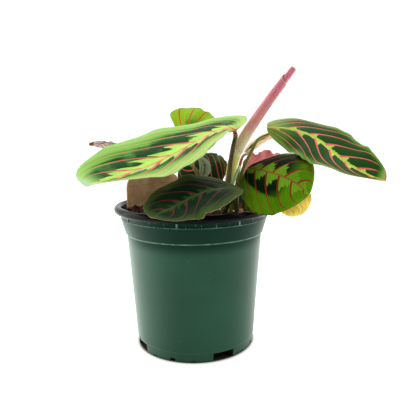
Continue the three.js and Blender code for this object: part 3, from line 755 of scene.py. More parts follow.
# %% Stalk and sheath table
# points: where it runs over the soil, in mm. radii: in the soil and at its end. colours: low on it,
# high on it, and the joint's, as they look on a screen.
STALKS = {
    "left_leaf": {
        "points": [[19, -15, 93], [22, -16.5, 109], [24, -20, 128], [25.5, -23, 138]],
        "radii": [2.1, 1.3], "slot": "brown_stalk",
        "colours": [(110, 120, 20), (84, 70, 10), (138, 92, 22)],
    },
    "right_leaf": {
        "points": [[28, -20, 93], [28.5, -19, 108], [32.5, -15, 122], [37.5, -11, 131.5], [43.5, -7, 141.5]],
        "radii": [1.6, 1], "slot": "olive_stalk",
        "colours": [(84, 98, 24), (130, 132, 10), (218, 204, 16)],
    },
    "front_leaf": {
        "points": [[33, -12, 93], [34, -13, 105], [34.5, -15, 113]],
        "radii": [1.4, 1], "slot": "olive_stalk",
        "colours": [(70, 84, 34), (96, 110, 40), (130, 140, 60)],
    },
    "low_leaf": {
        "points": [[19, -23, 94], [22, -27, 101], [26.5, -33, 107]],
        "radii": [2.1, 1.1], "slot": "green_stalk",
        "colours": [(70, 92, 36), (50, 76, 30), (80, 110, 50)],
    },
    "lime_leaf": {
        "points": [[5, 6, 96], [4, 7, 110], [1, 10, 121], [-10, 22, 131], [-18, 38, 141], [-19, 46, 147]],
        "radii": [1.3, 0.9], "slot": "olive_stalk",
        "colours": [(112, 116, 44), (128, 136, 52), (150, 170, 70)],
    },
    "back_leaf": {
        "points": [[22, 7, 95], [22.5, 11, 103]],
        "radii": [1.3, 0.9], "slot": "olive_stalk",
        "colours": [(80, 92, 40), (90, 104, 44), (120, 130, 60)],
    },
    "pink_leaf": {
        "points": [[27, 0, 95], [29, 1, 107], [32, 3, 116]],
        "radii": [1.3, 0.9], "slot": "brown_stalk",
        "colours": [(104, 84, 50), (130, 88, 60), (170, 110, 90)],
    },
    "yellow_leaf": {
        "points": [[37, -8, 94], [40, -7, 104]],
        "radii": [1.3, 0.9], "slot": "olive_stalk",
        "colours": [(130, 124, 50), (160, 150, 64), (200, 190, 90)],
    },
    "young_leaf": {
        "points": [[28, -10, 95], [29, -9, 110], [31, -5, 122], [34, 0, 130]],
        "radii": [1.5, 0.8], "slot": "brown_stalk",
        "colours": [(110, 84, 50), (150, 88, 62), (196, 118, 92)],
    },
    "dry_leaf": {
        "points": [[-4, 28, 95], [-8, 30, 105], [-14, 31, 111], [-23, 32, 115], [-36, 33, 119]],
        "radii": [1.4, 0.9], "slot": "brown_stalk",
        "colours": [(60, 60, 30), (56, 50, 28), (110, 84, 60)],
    },
}
SHEATHS = {
    "stem_sheath": {
        "points": [[22, -9, 92], [23.5, -10, 108], [25.5, -11, 123], [28.6, -11, 133.4]],
        "radii": [2.2, 3.6], "slot": "pale_sheath",
        "colours": [(188, 206, 64), (252, 248, 136), (252, 246, 176)],
    },
    "side_sheath": {
        "points": [[23.5, -20, 94], [24.8, -20.5, 111], [27, -20, 118], [30, -19, 125]],
        "radii": [1.7, 0.9], "slot": "green_sheath",
        "colours": [(130, 178, 84), (168, 214, 146), (196, 226, 160)],
    },
}
print("stalks:", len(STALKS), "sheaths:", len(SHEATHS))

# %% Path helpers
ROOT_DEPTH = 80
# a stalk ends under the solid's blade and ridge, with a gap, and its last stretch is the joint
SOLID_BLADE, SOLID_RIDGE, STALK_GAP = 0.8, 1.1, 0.35
BLADE_GAP = SOLID_BLADE + SOLID_RIDGE + STALK_GAP
PULVINUS = 3
STEM_STEPS = 90


def smooth_path(points, samples):
    """A curve through all points, each stretch a cubic whose end slopes weigh in the lengths of the
    stretches before and after it, then sampled at equal steps of its own length."""
    knots = np.array(points, float)
    knots = np.vstack([2 * knots[0] - knots[1], knots, 2 * knots[-1] - knots[-2]])
    gaps = np.linalg.norm(np.diff(knots, axis=0), axis=1) ** 0.5
    before, here, after = gaps[:-2, None], gaps[1:-1, None], gaps[2:, None]
    a, b, c, d = knots[:-3], knots[1:-2], knots[2:-1], knots[3:]
    out = (b - a) / before - (c - a) / (before + here) + (c - b) / here
    into = (c - b) / here - (d - b) / (here + after) + (d - c) / after
    out, into = (out * here)[:, None], (into * here)[:, None]
    x = np.linspace(0, 1, 40, endpoint=False)[None, :, None]
    b, c = b[:, None], c[:, None]
    fine = b + out * x + (3 * (c - b) - 2 * out - into) * x ** 2 + (2 * (b - c) + out + into) * x ** 3
    fine = np.vstack([fine.reshape(-1, 3), knots[-2]])
    length = np.concatenate([[0], np.cumsum(np.linalg.norm(np.diff(fine, axis=0), axis=1))])
    even = np.linspace(0, length[-1], samples)
    return np.stack([np.interp(even, length, fine[:, i]) for i in range(3)], -1)


def rooted(points):
    """The points with one more below the soil, in line with the first stretch and half as slanted."""
    first, second = np.array(points[:2], float)
    drop = (first[2] - ROOT_DEPTH) / (second[2] - first[2])
    foot = first - (second - first) * drop * 0.5
    foot[2] = ROOT_DEPTH
    return [foot.tolist(), *points]


def stalk_end(leaf):
    """The last two points: 3 mm off and just under the midrib's base, square to the blade."""
    t, s = np.meshgrid([0.01, 0.03], [-0.01, 0.01], indexing="ij")
    corner = leaf_points(leaf, t, s)
    normal = unit(np.cross(corner[0, 1] - corner[0, 0], corner[1, 0] - corner[0, 0]))
    end = through(leaf["rib"], np.array([0.01]))[0] - normal * BLADE_GAP
    return [(end - normal * PULVINUS).tolist(), end.tolist()]


def around(centre, side, up, angle, radius):
    """The centre plus side times the radius by cosine, and up times the radius by sine of the angle."""
    return centre + side * (radius * np.cos(angle))[..., None] + up * (radius * np.sin(angle))[..., None]


def tube(name, path, radius, turns, seam=0.0):
    """A ring of points round each point of the path, square to it. With a seam the radius grows
    round the ring and drops back, as where a wrapped edge ends."""
    along = unit(np.gradient(path, axis=0))
    side = unit(np.cross(along, np.array([0, 1.0, 0.02])))
    share = np.linspace(0, 1, turns, endpoint=False)[None]
    grown = radius[:, None] * (1 + seam * (share - 0.5))
    up = np.cross(along, side)
    rings = around(path[:, None], side[:, None], up[:, None], 2 * np.pi * share, grown)
    t = np.linspace(0, 1, len(path))[:, None] + 0 * share
    return put_mesh(name, rings, ring_faces(*rings.shape[:2]), {"along": t, "round": share + 0 * t})


print("points on a stalk's path:", STEM_STEPS)

# %% [markdown]
# ## The paint of stalks and sheaths
#
# A stalk is smooth and slightly streaked along its length, darker where it leaves the soil, and its
# last few millimetres, the joint that turns the leaf, are swollen and paler. The paint mixes three
# colours along the stalk and stretches noise into streaks.

# %% Stalk paint
def stalk_paint(name, low, high, joint, gloss):
    """Low to high colour along the stalk, joint colour at its end, streaks round it."""
    paint = Paint(name, gloss, Specular_IOR_Level=0.4, Subsurface_Weight=0.08)
    paint.set("Subsurface Radius", (0.5 * MM, 0.6 * MM, 0.2 * MM))
    along = paint.field("along")
    swing = paint.noise(paint.place(), 160.0, 3.0)
    streak = paint.noise(paint.vector(paint.times(paint.field("round"), 24.0), along), 1.0, 3.0)
    where = paint.calc("MULTIPLY_ADD", paint.calc("SUBTRACT", swing, 0.5), 0.3, along)
    colour = paint.mix(paint.ramp(where, 0.25, 0.85), low, high)
    colour = paint.mix(paint.ramp(streak, 0.4, 0.75, 0.0, 0.55), colour, (170, 172, 120), "MULTIPLY")
    colour = paint.mix(paint.ramp(streak, 0.35, 0.2, 0.0, 0.3), colour, joint)
    colour = paint.mix(paint.ramp(along, 0.93, 0.965), colour, joint)
    paint.set("Base Color", colour)
    paint.relief(streak, 0.15, 0.3)
    return paint


print("layers: low to high colour, streaks, joint")

# %% Stalks
STALK_SIDES = 20
JOINT_PLACE, JOINT_SPREAD, JOINT_SWELL = 0.96, 0.03, 0.12
share = np.linspace(0, 1, STEM_STEPS)
for name, stalk in STALKS.items():
    path = smooth_path([*rooted(stalk["points"]), *stalk_end(LEAVES[name])], STEM_STEPS)
    thick, thin = stalk["radii"]
    radius = thick + (thin - thick) * share
    radius = radius * (1 + JOINT_SWELL * np.exp(-((share - JOINT_PLACE) / JOINT_SPREAD) ** 2))
    piece = tube(name + "_stalk_skin", path, radius, STALK_SIDES)
    paint = stalk_paint(name + "_stalk_paint", *stalk["colours"], 0.4)
    finish_piece(piece, stalk["slot"], paint, name + "_stalk")

# %% Sheaths
SHEATH_SIDES, SHEATH_SEAM, SHEATH_REACH = 32, 0.12, 2.6
for name, sheath in SHEATHS.items():
    path = smooth_path(rooted(sheath["points"]), STEM_STEPS)
    radius = np.linspace(*sheath["radii"], STEM_STEPS)
    if name == "stem_sheath":
        path = np.vstack([path, path[-1] + unit(path[-1] - path[-2]) * SHEATH_REACH])
        radius = np.append(radius, radius[-1] * 0.96)
    piece = tube(name + "_skin", path, radius, SHEATH_SIDES, SHEATH_SEAM)
    finish_piece(piece, sheath["slot"], stalk_paint(name + "_paint", *sheath["colours"], 0.45), name)

# %% [markdown]
# ## The rolled leaf
#
# The youngest leaf stands up still rolled: one sheet wound twice round, its pink underside outwards,
# its outer layer ending lower than the inner. A cylinder would hide how it is made. A spiral sheet with
# a real thickness shows its edge as a long seam, and its open end as a scroll. Its colour goes from
# cream at the foot to a deep pink at the tip, in fine streaks.

# %% Rolled leaf
ROLL_POINTS = [[29, -10.8, 134.6], [35.7, -10, 146], [49.7, -8, 166], [66.7, -6, 188]]
ROLL_TURNS, ROLL_START, ROLL_INNER, ROLL_PITCH = 2.1, 150, 2, 1.15
ROLL_NARROW, ROLL_OUTER_END, ROLL_SKIN = 0.7, 0.825, 0.45
ROLL_STEPS, ROLL_AROUND, PATH_STEPS = 120, 110, 400


def eased(x):
    """3 x squared minus 2 x cubed: from 0 to 1, level at both ends and constant beyond them."""
    x = np.clip(x, 0, 1)
    return x ** 2 * (3 - 2 * x)


def rolled_sheet(depth):
    """The radius grows evenly with the angle, and shrinks towards the tip. The outer part of the
    sheet is shortened so that it ends at a share of the length, and its long edge lies down on the
    turn below. Depth moves inwards."""
    u, share = np.meshgrid(np.linspace(0, 1, ROLL_STEPS), np.linspace(0, 1, ROLL_AROUND), indexing="ij")
    t = u * (1 - (1 - ROLL_OUTER_END) * eased((share - 0.5) / 0.4))
    path = smooth_path(ROLL_POINTS, PATH_STEPS)
    steps = np.linspace(0, 1, PATH_STEPS)
    centre, ahead = (np.stack([np.interp(t, steps, values[:, i]) for i in range(3)], -1)
                     for values in (path, unit(np.gradient(path, axis=0))))
    ahead = unit(ahead)
    side = unit(np.cross(ahead, np.array([0, 1.0, 0])))
    taper = 1 - (1 - ROLL_NARROW) * t
    laid = (ROLL_PITCH - (ROLL_SKIN + 0.05) / taper) * eased((share - 0.9) / 0.1)
    radius = (ROLL_INNER + ROLL_PITCH * ROLL_TURNS * share - laid) * taper - depth
    angle = math.radians(ROLL_START) + 2 * np.pi * ROLL_TURNS * share
    return around(centre, side, np.cross(ahead, side), angle, radius), u, t, share


outside, u, t, share = rolled_sheet(0)
rings = closed(outside, rolled_sheet(ROLL_SKIN)[0])
fields = {"along": closed(t, t), "end": closed(u, u), "round": closed(share, share)}
fields["inner"] = closed(0 * t, 0 * t + 1)
rolled = put_mesh("rolled_leaf_skin", rings, ring_faces(*rings.shape[:2]), fields)
print("turns in the roll:", ROLL_TURNS)

# %% Roll paint
paint = Paint("rolled_leaf_paint", 0.45, Specular_IOR_Level=0.4, Subsurface_Weight=0.1)
paint.set("Subsurface Radius", (0.6 * MM, 0.3 * MM, 0.3 * MM))
along = paint.field("along")
stretched = paint.vector(paint.times(paint.field("round"), 22.0), paint.times(along, 7.0))
streak = paint.noise(stretched, 1.0, 2.0)
swing = paint.noise(paint.place(), 120.0, 3.0)
height = paint.calc("MULTIPLY_ADD", paint.calc("SUBTRACT", swing, 0.5), 0.25, along)
colour = paint.mix(paint.ramp(height, 0.04, 0.36), (240, 234, 176), (226, 154, 142))
colour = paint.mix(paint.ramp(height, 0.2, 0.95), colour, (214, 112, 134))
colour = paint.mix(paint.ramp(streak, 0.35, 0.75, 0.0, 0.3), colour, (190, 96, 106))
colour = paint.mix(paint.ramp(streak, 0.42, 0.25, 0.0, 0.5), colour, (232, 188, 170))
colour = paint.mix(paint.field("inner"), colour, (150, 170, 90))
colour = paint.mix(paint.ramp(paint.field("end"), 0.982, 0.995, 0.0, 0.8), colour, (190, 186, 126))
paint.set("Base Color", colour)
paint.relief(streak, 0.12, 0.2)
finish_piece(rolled, "pink_roll", paint, "rolled_leaf")

# %% [markdown]
# ## The pot
#
# The pot is thin moulded plastic: a tapered body, a wider stepped band, a neck with small ribs, and a
# rim rolled outwards. It stands on a foot ring with drain slots and notches. A profile turned round
# the axis gives the body, with its corners rounded as a mould's are, and a cutter made of boxes takes
# out the slots. Cutting is simpler to get right than weaving the slots into the grid.

# %% Pot sizes
RIM_RADIUS, RIM_ROLL, POT_HEIGHT = 55, 2.6, 98.5
PAD_RADIUS, FOOT_RING_INNER, FOOT_RADIUS = 10, 38.5, 41
HEEL_RADIUS, HEEL_HEIGHT = 41.7, 6.5
BODY_TOP_RADIUS, BODY_TOP = 46.8, 78.8
BAND_RADIUS_LOW, BAND_RADIUS_HIGH, BAND_LOW, BAND_HIGH = 47.9, 50.7, 79.8, 90
NECK_RADIUS, NECK_TOP = 50.2, POT_HEIGHT - 2 * RIM_ROLL
WALL, FLOOR_UNDER, FLOOR_THICK = 1.2, 3, 1.5
POT_TURNS = 192


def wall_radius(height):
    """The outer wall's radius at a height between heel and band."""
    return HEEL_RADIUS + (BODY_TOP_RADIUS - HEEL_RADIUS) * (height - HEEL_HEIGHT) / (BODY_TOP - HEEL_HEIGHT)


def rounded(profile, radius, steps=5):
    """Each inner corner of a line replaced by a short curve that starts and ends radius away."""
    points = np.array(profile, float)
    before, corner, after = points[:-2], points[1:-1], points[2:]
    back = np.minimum(radius, np.linalg.norm(before - corner, axis=1) * 0.45)[:, None]
    on = np.minimum(radius, np.linalg.norm(after - corner, axis=1) * 0.45)[:, None]
    start, end = corner + unit(before - corner) * back, corner + unit(after - corner) * on
    x = np.linspace(0, 1, steps)[None, :, None]
    bend = start[:, None] * (1 - x) ** 2 + 2 * corner[:, None] * x * (1 - x) + end[:, None] * x ** 2
    return np.vstack([points[:1], bend.reshape(-1, 2), points[-1:]])


def turned(name, profile, turns):
    """The profile's radius and height carried round the axis. Both ends lie on the axis."""
    angle = np.linspace(0, 2 * np.pi, turns, endpoint=False)[:, None]
    radius, height = profile[1:-1, 0][None], profile[1:-1, 1][None]
    body = np.stack([radius * np.cos(angle), radius * np.sin(angle), height + 0 * angle], -1)
    rows = body.shape[1]
    here = np.arange(turns)
    after = (here + 1) % turns
    low, high = turns * rows + 0 * here, turns * rows + 1 + 0 * here
    bottom = np.stack([after * rows, here * rows, low], -1)
    top = np.stack([here * rows + rows - 1, after * rows + rows - 1, high], -1)
    row, here, after = np.arange(rows - 1)[:, None], here[None] * rows, after[None] * rows
    quads = np.stack([here + row, after + row, after + row + 1, here + row + 1], -1).reshape(-1, 4)
    points = np.vstack([body.reshape(-1, 3), [0, 0, profile[0, 1]], [0, 0, profile[-1, 1]]])
    return put_mesh(name, points, quads.tolist() + bottom.tolist() + top.tolist())


print("pot:", 2 * RIM_RADIUS, "mm across,", POT_HEIGHT, "mm tall")

# %% Pot body
roll_angle = np.radians(np.linspace(-110, 180, 26))
roll = np.stack([RIM_RADIUS - RIM_ROLL + RIM_ROLL * np.cos(roll_angle),
                 POT_HEIGHT - RIM_ROLL + RIM_ROLL * np.sin(roll_angle)], -1)
floor_top = FLOOR_UNDER + FLOOR_THICK
outside_line = [[0, 0], [PAD_RADIUS, 0], [PAD_RADIUS + 1, FLOOR_UNDER], [FOOT_RING_INNER, FLOOR_UNDER],
                [FOOT_RING_INNER, 0], [FOOT_RADIUS, 0],
                [HEEL_RADIUS - 0.25, HEEL_HEIGHT - 0.2], [HEEL_RADIUS, HEEL_HEIGHT + 0.2],
                [BODY_TOP_RADIUS, BODY_TOP], [BAND_RADIUS_LOW, BAND_LOW], [BAND_RADIUS_HIGH, BAND_HIGH],
                [NECK_RADIUS, BAND_HIGH + 0.5], [NECK_RADIUS, NECK_TOP + 0.2], roll[0].tolist()]
inside_line = [roll[-1].tolist(), [NECK_RADIUS - WALL, NECK_TOP], [NECK_RADIUS - WALL, BAND_HIGH],
               [BAND_RADIUS_LOW - WALL, BAND_LOW + 1], [BODY_TOP_RADIUS - WALL, BODY_TOP],
               [wall_radius(floor_top) - WALL, floor_top], [0, floor_top]]
profile = np.vstack([rounded(outside_line, 0.45), roll[1:-1], rounded(inside_line, 0.4)])
pot = turned("pot_body", profile, POT_TURNS)
print("points in the profile:", len(profile))

# %% Slots and notches
SLOT_SIZE, SLOT_OUT, SLOT_TOP, SLOT_FIRST = [14, 15, 12], 40, 5.6, -64
NOTCH_SIZE, NOTCHES = [8, 3.6, 4], ((-93, 1.2), (-112, 2.4), (-131, 1.2))
BOX_FACES = np.array([[0, 1, 3, 2], [4, 6, 7, 5], [0, 4, 5, 1], [2, 3, 7, 6], [0, 2, 6, 4], [1, 5, 7, 3]])


def box_points(size, centre, turns):
    """The eight corners of a box moved to its centre and then turned about the axis, in degrees."""
    signs = np.array([[x, y, z] for x in (-1, 1) for y in (-1, 1) for z in (-1, 1)], float)
    corners = signs * np.array(size) / 2 + np.array(centre)
    angle = np.radians(turns)
    spin = np.array([[np.cos(angle), -np.sin(angle), 0], [np.sin(angle), np.cos(angle), 0], [0, 0, 1]])
    return corners @ spin.T


def box_mesh(name, boxes, smooth):
    """One mesh of several boxes, each given by its eight corners."""
    faces = np.vstack([BOX_FACES + 8 * i for i in range(len(boxes))])
    return put_mesh(name, np.vstack(boxes), faces.tolist(), smooth=smooth)


cuts = []
for quarter in (0, 90, 180, 270):
    slot_middle = [SLOT_OUT, 0, SLOT_TOP - SLOT_SIZE[2] / 2]
    cuts.append(box_points(SLOT_SIZE, slot_middle, SLOT_FIRST + quarter))
    for start, top in NOTCHES:
        cuts.append(box_points(NOTCH_SIZE, [FOOT_RADIUS, 0, top - NOTCH_SIZE[2] / 2], start + quarter))
cutter = box_mesh("pot_cutter", cuts, smooth=False)
cutting = pot.modifiers.new("slots", "BOOLEAN")
cutting.operation = "DIFFERENCE"
cutting.solver = "EXACT"
cutting.object = cutter
settled = bpy.data.meshes.new_from_object(pot.evaluated_get(bpy.context.evaluated_depsgraph_get()))
pot.modifiers.clear()
pot.data = settled
bpy.data.objects.remove(cutter)
settled.polygons.foreach_set("use_smooth", np.full(len(settled.polygons), True))
settled.set_sharp_from_angle(angle=math.radians(38))
print("pot faces after cutting:", len(settled.polygons))

# %% [markdown]
# ## The paint of the pot
#
# Dark green plastic with a satin gloss, slightly cloudy where the mould cooled unevenly and specked
# with dust. Its dust sheen and gloss are made stronger on the left, as a painted highlight for the
# brighter light on that side. Towards the band it is duller all round, and painted darker there as
# painted shade under the rim. The two steps carry thin pale lines that are painted highlights, the
# neck is scuffed where pots were stacked, and the lip is black. One material does it all, because
# height picks the zone. Several materials would need their edges to follow the grid.

# %% Pot paint
# heights in metres, between which a zone comes in or goes out
PAINTED_SHADE_ZONE = (0.0690, 0.0797)
NECK_FROM, NECK_UNTIL, LIP_FROM = (0.0890, 0.0905), (0.0940, 0.0925), (0.0932, 0.0938)
HIGHLIGHT_STEPS = ((0.0795, 0.0006), (0.0900, 0.0004))
paint = Paint("pot_plastic", 0.3)
place = paint.place()
x, y, z = paint.parts(place)
cloud = paint.noise(place, 28.0, 3.0)
upper, lip = paint.ramp(z, *PAINTED_SHADE_ZONE), paint.ramp(z, *LIP_FROM)
colour = paint.mix(paint.ramp(cloud, 0.35, 0.7), (11, 60, 39), (16, 68, 46))
# painted shade: darker all round below the rim, over the band and the top of the body
colour = paint.mix(upper, colour, (2, 42, 28))
specks = paint.ramp(paint.noise(place, 620.0, 1.0), 0.78, 0.84, 0.0, 0.35)
colour = paint.mix(specks, colour, (104, 134, 118))
# painted highlights: thin pale lines along the two steps, broken up by noise
highlight_strength = paint.ramp(paint.noise(place, 240.0, 3.0), 0.35, 0.65, 0.22, 0.6)
for height, width in HIGHLIGHT_STEPS:
    off = paint.calc("ABSOLUTE", paint.calc("SUBTRACT", z, height))
    line = paint.times(paint.ramp(off, width, width * 0.4), highlight_strength)
    colour = paint.mix(line, colour, (120, 160, 140))
stretched = paint.vector(paint.times(x, 900.0), paint.times(y, 900.0), paint.times(z, 160.0))
scratches = paint.noise(stretched, 1.0, 2.0)
in_neck = paint.times(paint.ramp(z, *NECK_FROM), paint.ramp(z, *NECK_UNTIL))
scuff = paint.times(paint.ramp(scratches, 0.62, 0.7), in_neck, 0.6)
colour = paint.mix(scuff, colour, (150, 176, 160))
colour = paint.mix(lip, colour, (5, 5, 8))
paint.set("Base Color", colour)
paint.set("Roughness", paint.calc("MULTIPLY_ADD", lip, -0.12, paint.ramp(cloud, 0.3, 0.7, 0.28, 0.34)))
# painted highlight: the gloss, and the dust sheen below, are stronger on the left for the brighter light on
# that side
shine = paint.times(paint.ramp(x, -0.042, -0.008, 0.6, 0.27), paint.ramp(upper, 0.0, 1.0, 1.0, 0.35),
                    paint.ramp(lip, 0.0, 1.0, 1.0, 0.6))
paint.set("Specular IOR Level", shine)
paint.set("Specular Tint", (226, 255, 240))
dust_and_left_sheen = paint.times(paint.ramp(x, -0.045, 0.0, 0.45, 0.12), paint.ramp(lip, 0.0, 1.0, 1.0, 0.0))
paint.set("Sheen Weight", dust_and_left_sheen)
paint.set("Sheen Roughness", 0.35)
paint.set("Sheen Tint", (170, 240, 205))
paint.relief(paint.noise(place, 900.0, 2.0), 0.06, 0.12)
finish_piece(pot, "pot", paint, "pot")

# %% Neck ribs
RIB_COUNT, RIB_FIRST = 8, -57
rib_low, rib_high = BAND_HIGH - 0.4, NECK_TOP + 0.6
rib_size, rib_middle = [1.1, 1.2, rib_high - rib_low], [NECK_RADIUS + 0.02, 0, (rib_low + rib_high) / 2]
ribs = [box_points(rib_size, rib_middle, RIB_FIRST + 360 / RIB_COUNT * k) for k in range(RIB_COUNT)]
neck_ribs = box_mesh("neck_ribs", ribs, smooth=True)
edge = neck_ribs.modifiers.new("soft_edges", "BEVEL")
edge.width = 0.25 * MM
edge.segments = 3
paint = Paint("rib_plastic", 0.34, Specular_IOR_Level=0.5)
worn = paint.noise(paint.place(), 500.0, 2.0)
paint.set("Base Color", paint.mix(paint.ramp(worn, 0.35, 0.7), (26, 70, 52), (96, 130, 112)))
finish_piece(neck_ribs, "pot", paint)

# %% [markdown]
# ## Soil
#
# Potting mix is dark, damp and crumbly: fine peat, with chips of bark and a few pale scraps on top,
# and a low bank of it lies against the wall on the left. The body is a low mound with lumps, and chips
# are strewn over it by a seeded rule. Particles would not survive an export, so all the chips are one
# mesh, made in a single array.

# %% Soil body
SOIL_EDGE, SOIL_CROWN, SOIL_ROUGH, SOIL_FLOOR = 92.6, 1.8, 0.7, 4.8
FIT_GAP = 0.3
CRUMB_WAVES, CRUMB_HEIGHT, CRUMB_REACH = 20, 0.09, 48
SOIL_RINGS, SOIL_TURNS = 90, 240
rng = np.random.default_rng(7)


def soil_height(x, y):
    """A low dome, plus slow lumps that fade at the wall, as in the solid."""
    share = np.minimum(np.hypot(x, y) / NECK_RADIUS, 1)
    lumps = np.sin(0.31 * x + 1.3) * np.cos(0.27 * y - 0.6) + 0.6 * np.sin(0.63 * x - 0.52 * y)
    return SOIL_EDGE + SOIL_CROWN * (1 - share ** 2) + SOIL_ROUGH * lumps * (1 - share ** 6)


def crumbs(x, y):
    """Crossing waves of random direction and start, and of length between 2 and 6 mm, added up."""
    angle = rng.uniform(0, np.pi, CRUMB_WAVES)
    size, start = rng.uniform(2, 6, CRUMB_WAVES), rng.uniform(0, 7, CRUMB_WAVES)
    across = x[..., None] * np.cos(angle) + y[..., None] * np.sin(angle)
    return np.sin(across * 2 * np.pi / size + start).sum(-1) * CRUMB_HEIGHT


def in_pot(radius):
    """The soil's radius inside a wall of that outer radius."""
    return radius - WALL - FIT_GAP


sides = np.array([[in_pot(wall_radius(SOIL_FLOOR)), SOIL_FLOOR], [in_pot(BODY_TOP_RADIUS), BODY_TOP],
                  [in_pot(BAND_RADIUS_LOW), BAND_LOW + 1.4], [in_pot(NECK_RADIUS), BAND_HIGH],
                  [in_pot(NECK_RADIUS), SOIL_EDGE - 0.3]])
inner = np.linspace(in_pot(NECK_RADIUS), 0.6, SOIL_RINGS)
surface = np.stack([inner, 0 * inner + SOIL_EDGE], -1)
soil = turned("soil_body", np.vstack([[[0, SOIL_FLOOR]], sides, surface, [[0, SOIL_EDGE]]]), SOIL_TURNS)
places = np.empty(len(soil.data.vertices) * 3, np.float32)
soil.data.vertices.foreach_get("co", places)
x, y, z = (places.reshape(-1, 3) / MM).T
rough = crumbs(x, y) * (np.hypot(x, y) < CRUMB_REACH)
z = np.where(z > SOIL_EDGE - 0.1, soil_height(x, y) + rough, z)
soil.data.vertices.foreach_set("co", (np.stack([x, y, z], -1) * MM).ravel())
soil.data.update()
print("soil is", round(float(z.max()), 1), "mm high")

# %% Soil paint
paint = Paint("potting_mix", 0.9, Specular_IOR_Level=0.25)
place = paint.place()
grains = paint.noise(place, 900.0, 4.0, 0.65)
clumps = paint.noise(place, 170.0, 3.0)
colour = paint.mix(paint.ramp(clumps, 0.35, 0.65), (34, 22, 16), (76, 48, 32))
colour = paint.mix(paint.ramp(grains, 0.55, 0.72, 0.0, 0.8), colour, (120, 74, 46))
colour = paint.mix(paint.ramp(grains, 0.42, 0.28), colour, (16, 10, 8))
paint.set("Base Color", colour)
paint.relief(grains, 1.2, 0.9)
finish_piece(soil, "soil", paint, "soil")

# %% Chip shapes
golden = (1 + 5 ** 0.5) / 2
ball = np.array([[0, a, b * golden] for a in (-1, 1) for b in (-1, 1)], float)
ball = unit(np.vstack([ball, np.roll(ball, 1, axis=1), np.roll(ball, 2, axis=1)]))
CORNERS = len(ball)


def hull_faces(points):
    """All triples of neighbouring corners of the twenty-sided ball, each turned to face outwards."""
    gap = np.linalg.norm(points[:, None] - points[None], axis=-1)
    near = (gap > 0.1) & (gap < 1.2)
    i, j, k = np.meshgrid(*[np.arange(len(points))] * 3, indexing="ij")
    kept = (i < j) & (j < k) & near[i, j] & near[j, k] & near[i, k]
    trio = np.stack([i[kept], j[kept], k[kept]], -1)
    corner = points[trio]
    out = np.cross(corner[:, 1] - corner[:, 0], corner[:, 2] - corner[:, 0])
    flip = (out * corner.mean(1)).sum(-1) < 0
    trio[flip] = trio[flip][:, ::-1]
    return trio


def strewn(count, sizes, flatness, reach, middle=(0, 0)):
    """Balls squashed, stretched, dented and turned at random, laid on the soil within a radius. Each
    is turned by the product of two rotations: a lean about one level axis, then a yaw."""
    radius = reach * np.sqrt(rng.uniform(0, 1, count))
    angle = rng.uniform(0, 2 * np.pi, count)
    x, y = middle[0] + radius * np.cos(angle), middle[1] + radius * np.sin(angle)
    size = rng.uniform(*sizes, (count, 1))
    scale = size * np.stack([rng.uniform(0.6, 1.4, count), rng.uniform(0.4, 0.9, count),
                             rng.uniform(*flatness, count)], -1)
    dent = rng.uniform(0.7, 1.15, (count, CORNERS, 1))
    shape = ball[None] * dent * scale[:, None]
    yaw, lean = rng.uniform(0, 2 * np.pi, count), rng.normal(0, 0.4, count)
    cy, sy, cl, sl = np.cos(yaw), np.sin(yaw), np.cos(lean), np.sin(lean)
    spin = np.array([[cy * cl, -sy, cy * sl], [sy * cl, cy, sy * sl], [-sl, 0 * sl, cl]])
    ground = soil_height(x, y) + 0.25 * scale[:, 2]
    return np.einsum("ijn,nkj->nki", spin, shape) + np.stack([x, y, ground], -1)[:, None]


print("corners and faces of a chip:", CORNERS, len(hull_faces(ball)))

# %% Bark chips
CHIPS, LARGE_CHIPS, SCRAPS, BANK_CHIPS = 900, 90, 26, 640
CHIP_REACH, LARGE_REACH, SCRAP_REACH, BANK_REACH, WALL_REACH = 47.3, 45, 5, 15, 46.2
SCRAP_MIDDLE, BANK_MIDDLE, BANK_RISE = (30, -17), (-40, -11), 4.2
chip_points = np.vstack([strewn(CHIPS, (0.5, 1.5), (0.25, 0.6), CHIP_REACH),
                         strewn(LARGE_CHIPS, (1.5, 2.8), (0.2, 0.4), LARGE_REACH)])
scraps = strewn(SCRAPS, (1.2, 2.4), (0.4, 0.8), SCRAP_REACH, SCRAP_MIDDLE)
tone = rng.uniform(0, 1, len(chip_points))
bank = strewn(BANK_CHIPS, (0.7, 1.8), (0.4, 0.9), BANK_REACH, BANK_MIDDLE)
bank_place = bank.mean(1)[:, :2]
# the bank rises to its middle, and what would lie in the wall is left out
slope = 1 - (np.linalg.norm(bank_place - BANK_MIDDLE, axis=1) / (BANK_REACH + 1)) ** 2
bank[..., 2] += (rng.uniform(0, 1, BANK_CHIPS) * BANK_RISE * slope)[:, None]
bank = bank[np.linalg.norm(bank_place, axis=1) < WALL_REACH]
# pale scraps have the highest tone
tone = np.concatenate([tone, np.full(len(scraps), 1.0), rng.uniform(0.1, 0.9, len(bank))])
chip_points = np.vstack([chip_points, scraps, bank])
chip_faces = hull_faces(ball)[None] + CORNERS * np.arange(len(chip_points))[:, None, None]
chips = put_mesh("bark_chips", chip_points, chip_faces.reshape(-1, 3).tolist(),
                 {"tone": np.repeat(tone, CORNERS)}, smooth=False)
print("chips, scraps and bank:", len(chip_points))

# %% Bark paint
paint = Paint("bark", 0.85, Specular_IOR_Level=0.25)
tone = paint.field("tone")
fibre = paint.noise(paint.place(), 1500.0, 3.0)
colour = paint.mix(paint.ramp(tone, 0.2, 0.9), (34, 21, 16), (136, 84, 58))
colour = paint.mix(paint.ramp(fibre, 0.4, 0.7, 0.0, 0.5), colour, (60, 36, 26), "MULTIPLY")
straw = paint.mix(paint.ramp(fibre, 0.4, 0.7), (255, 236, 188), (226, 196, 142))
colour = paint.mix(paint.ramp(tone, 0.93, 0.97), colour, straw)
paint.set("Base Color", colour)
paint.relief(fibre, 0.3, 0.6)
finish_piece(chips, "soil", paint)
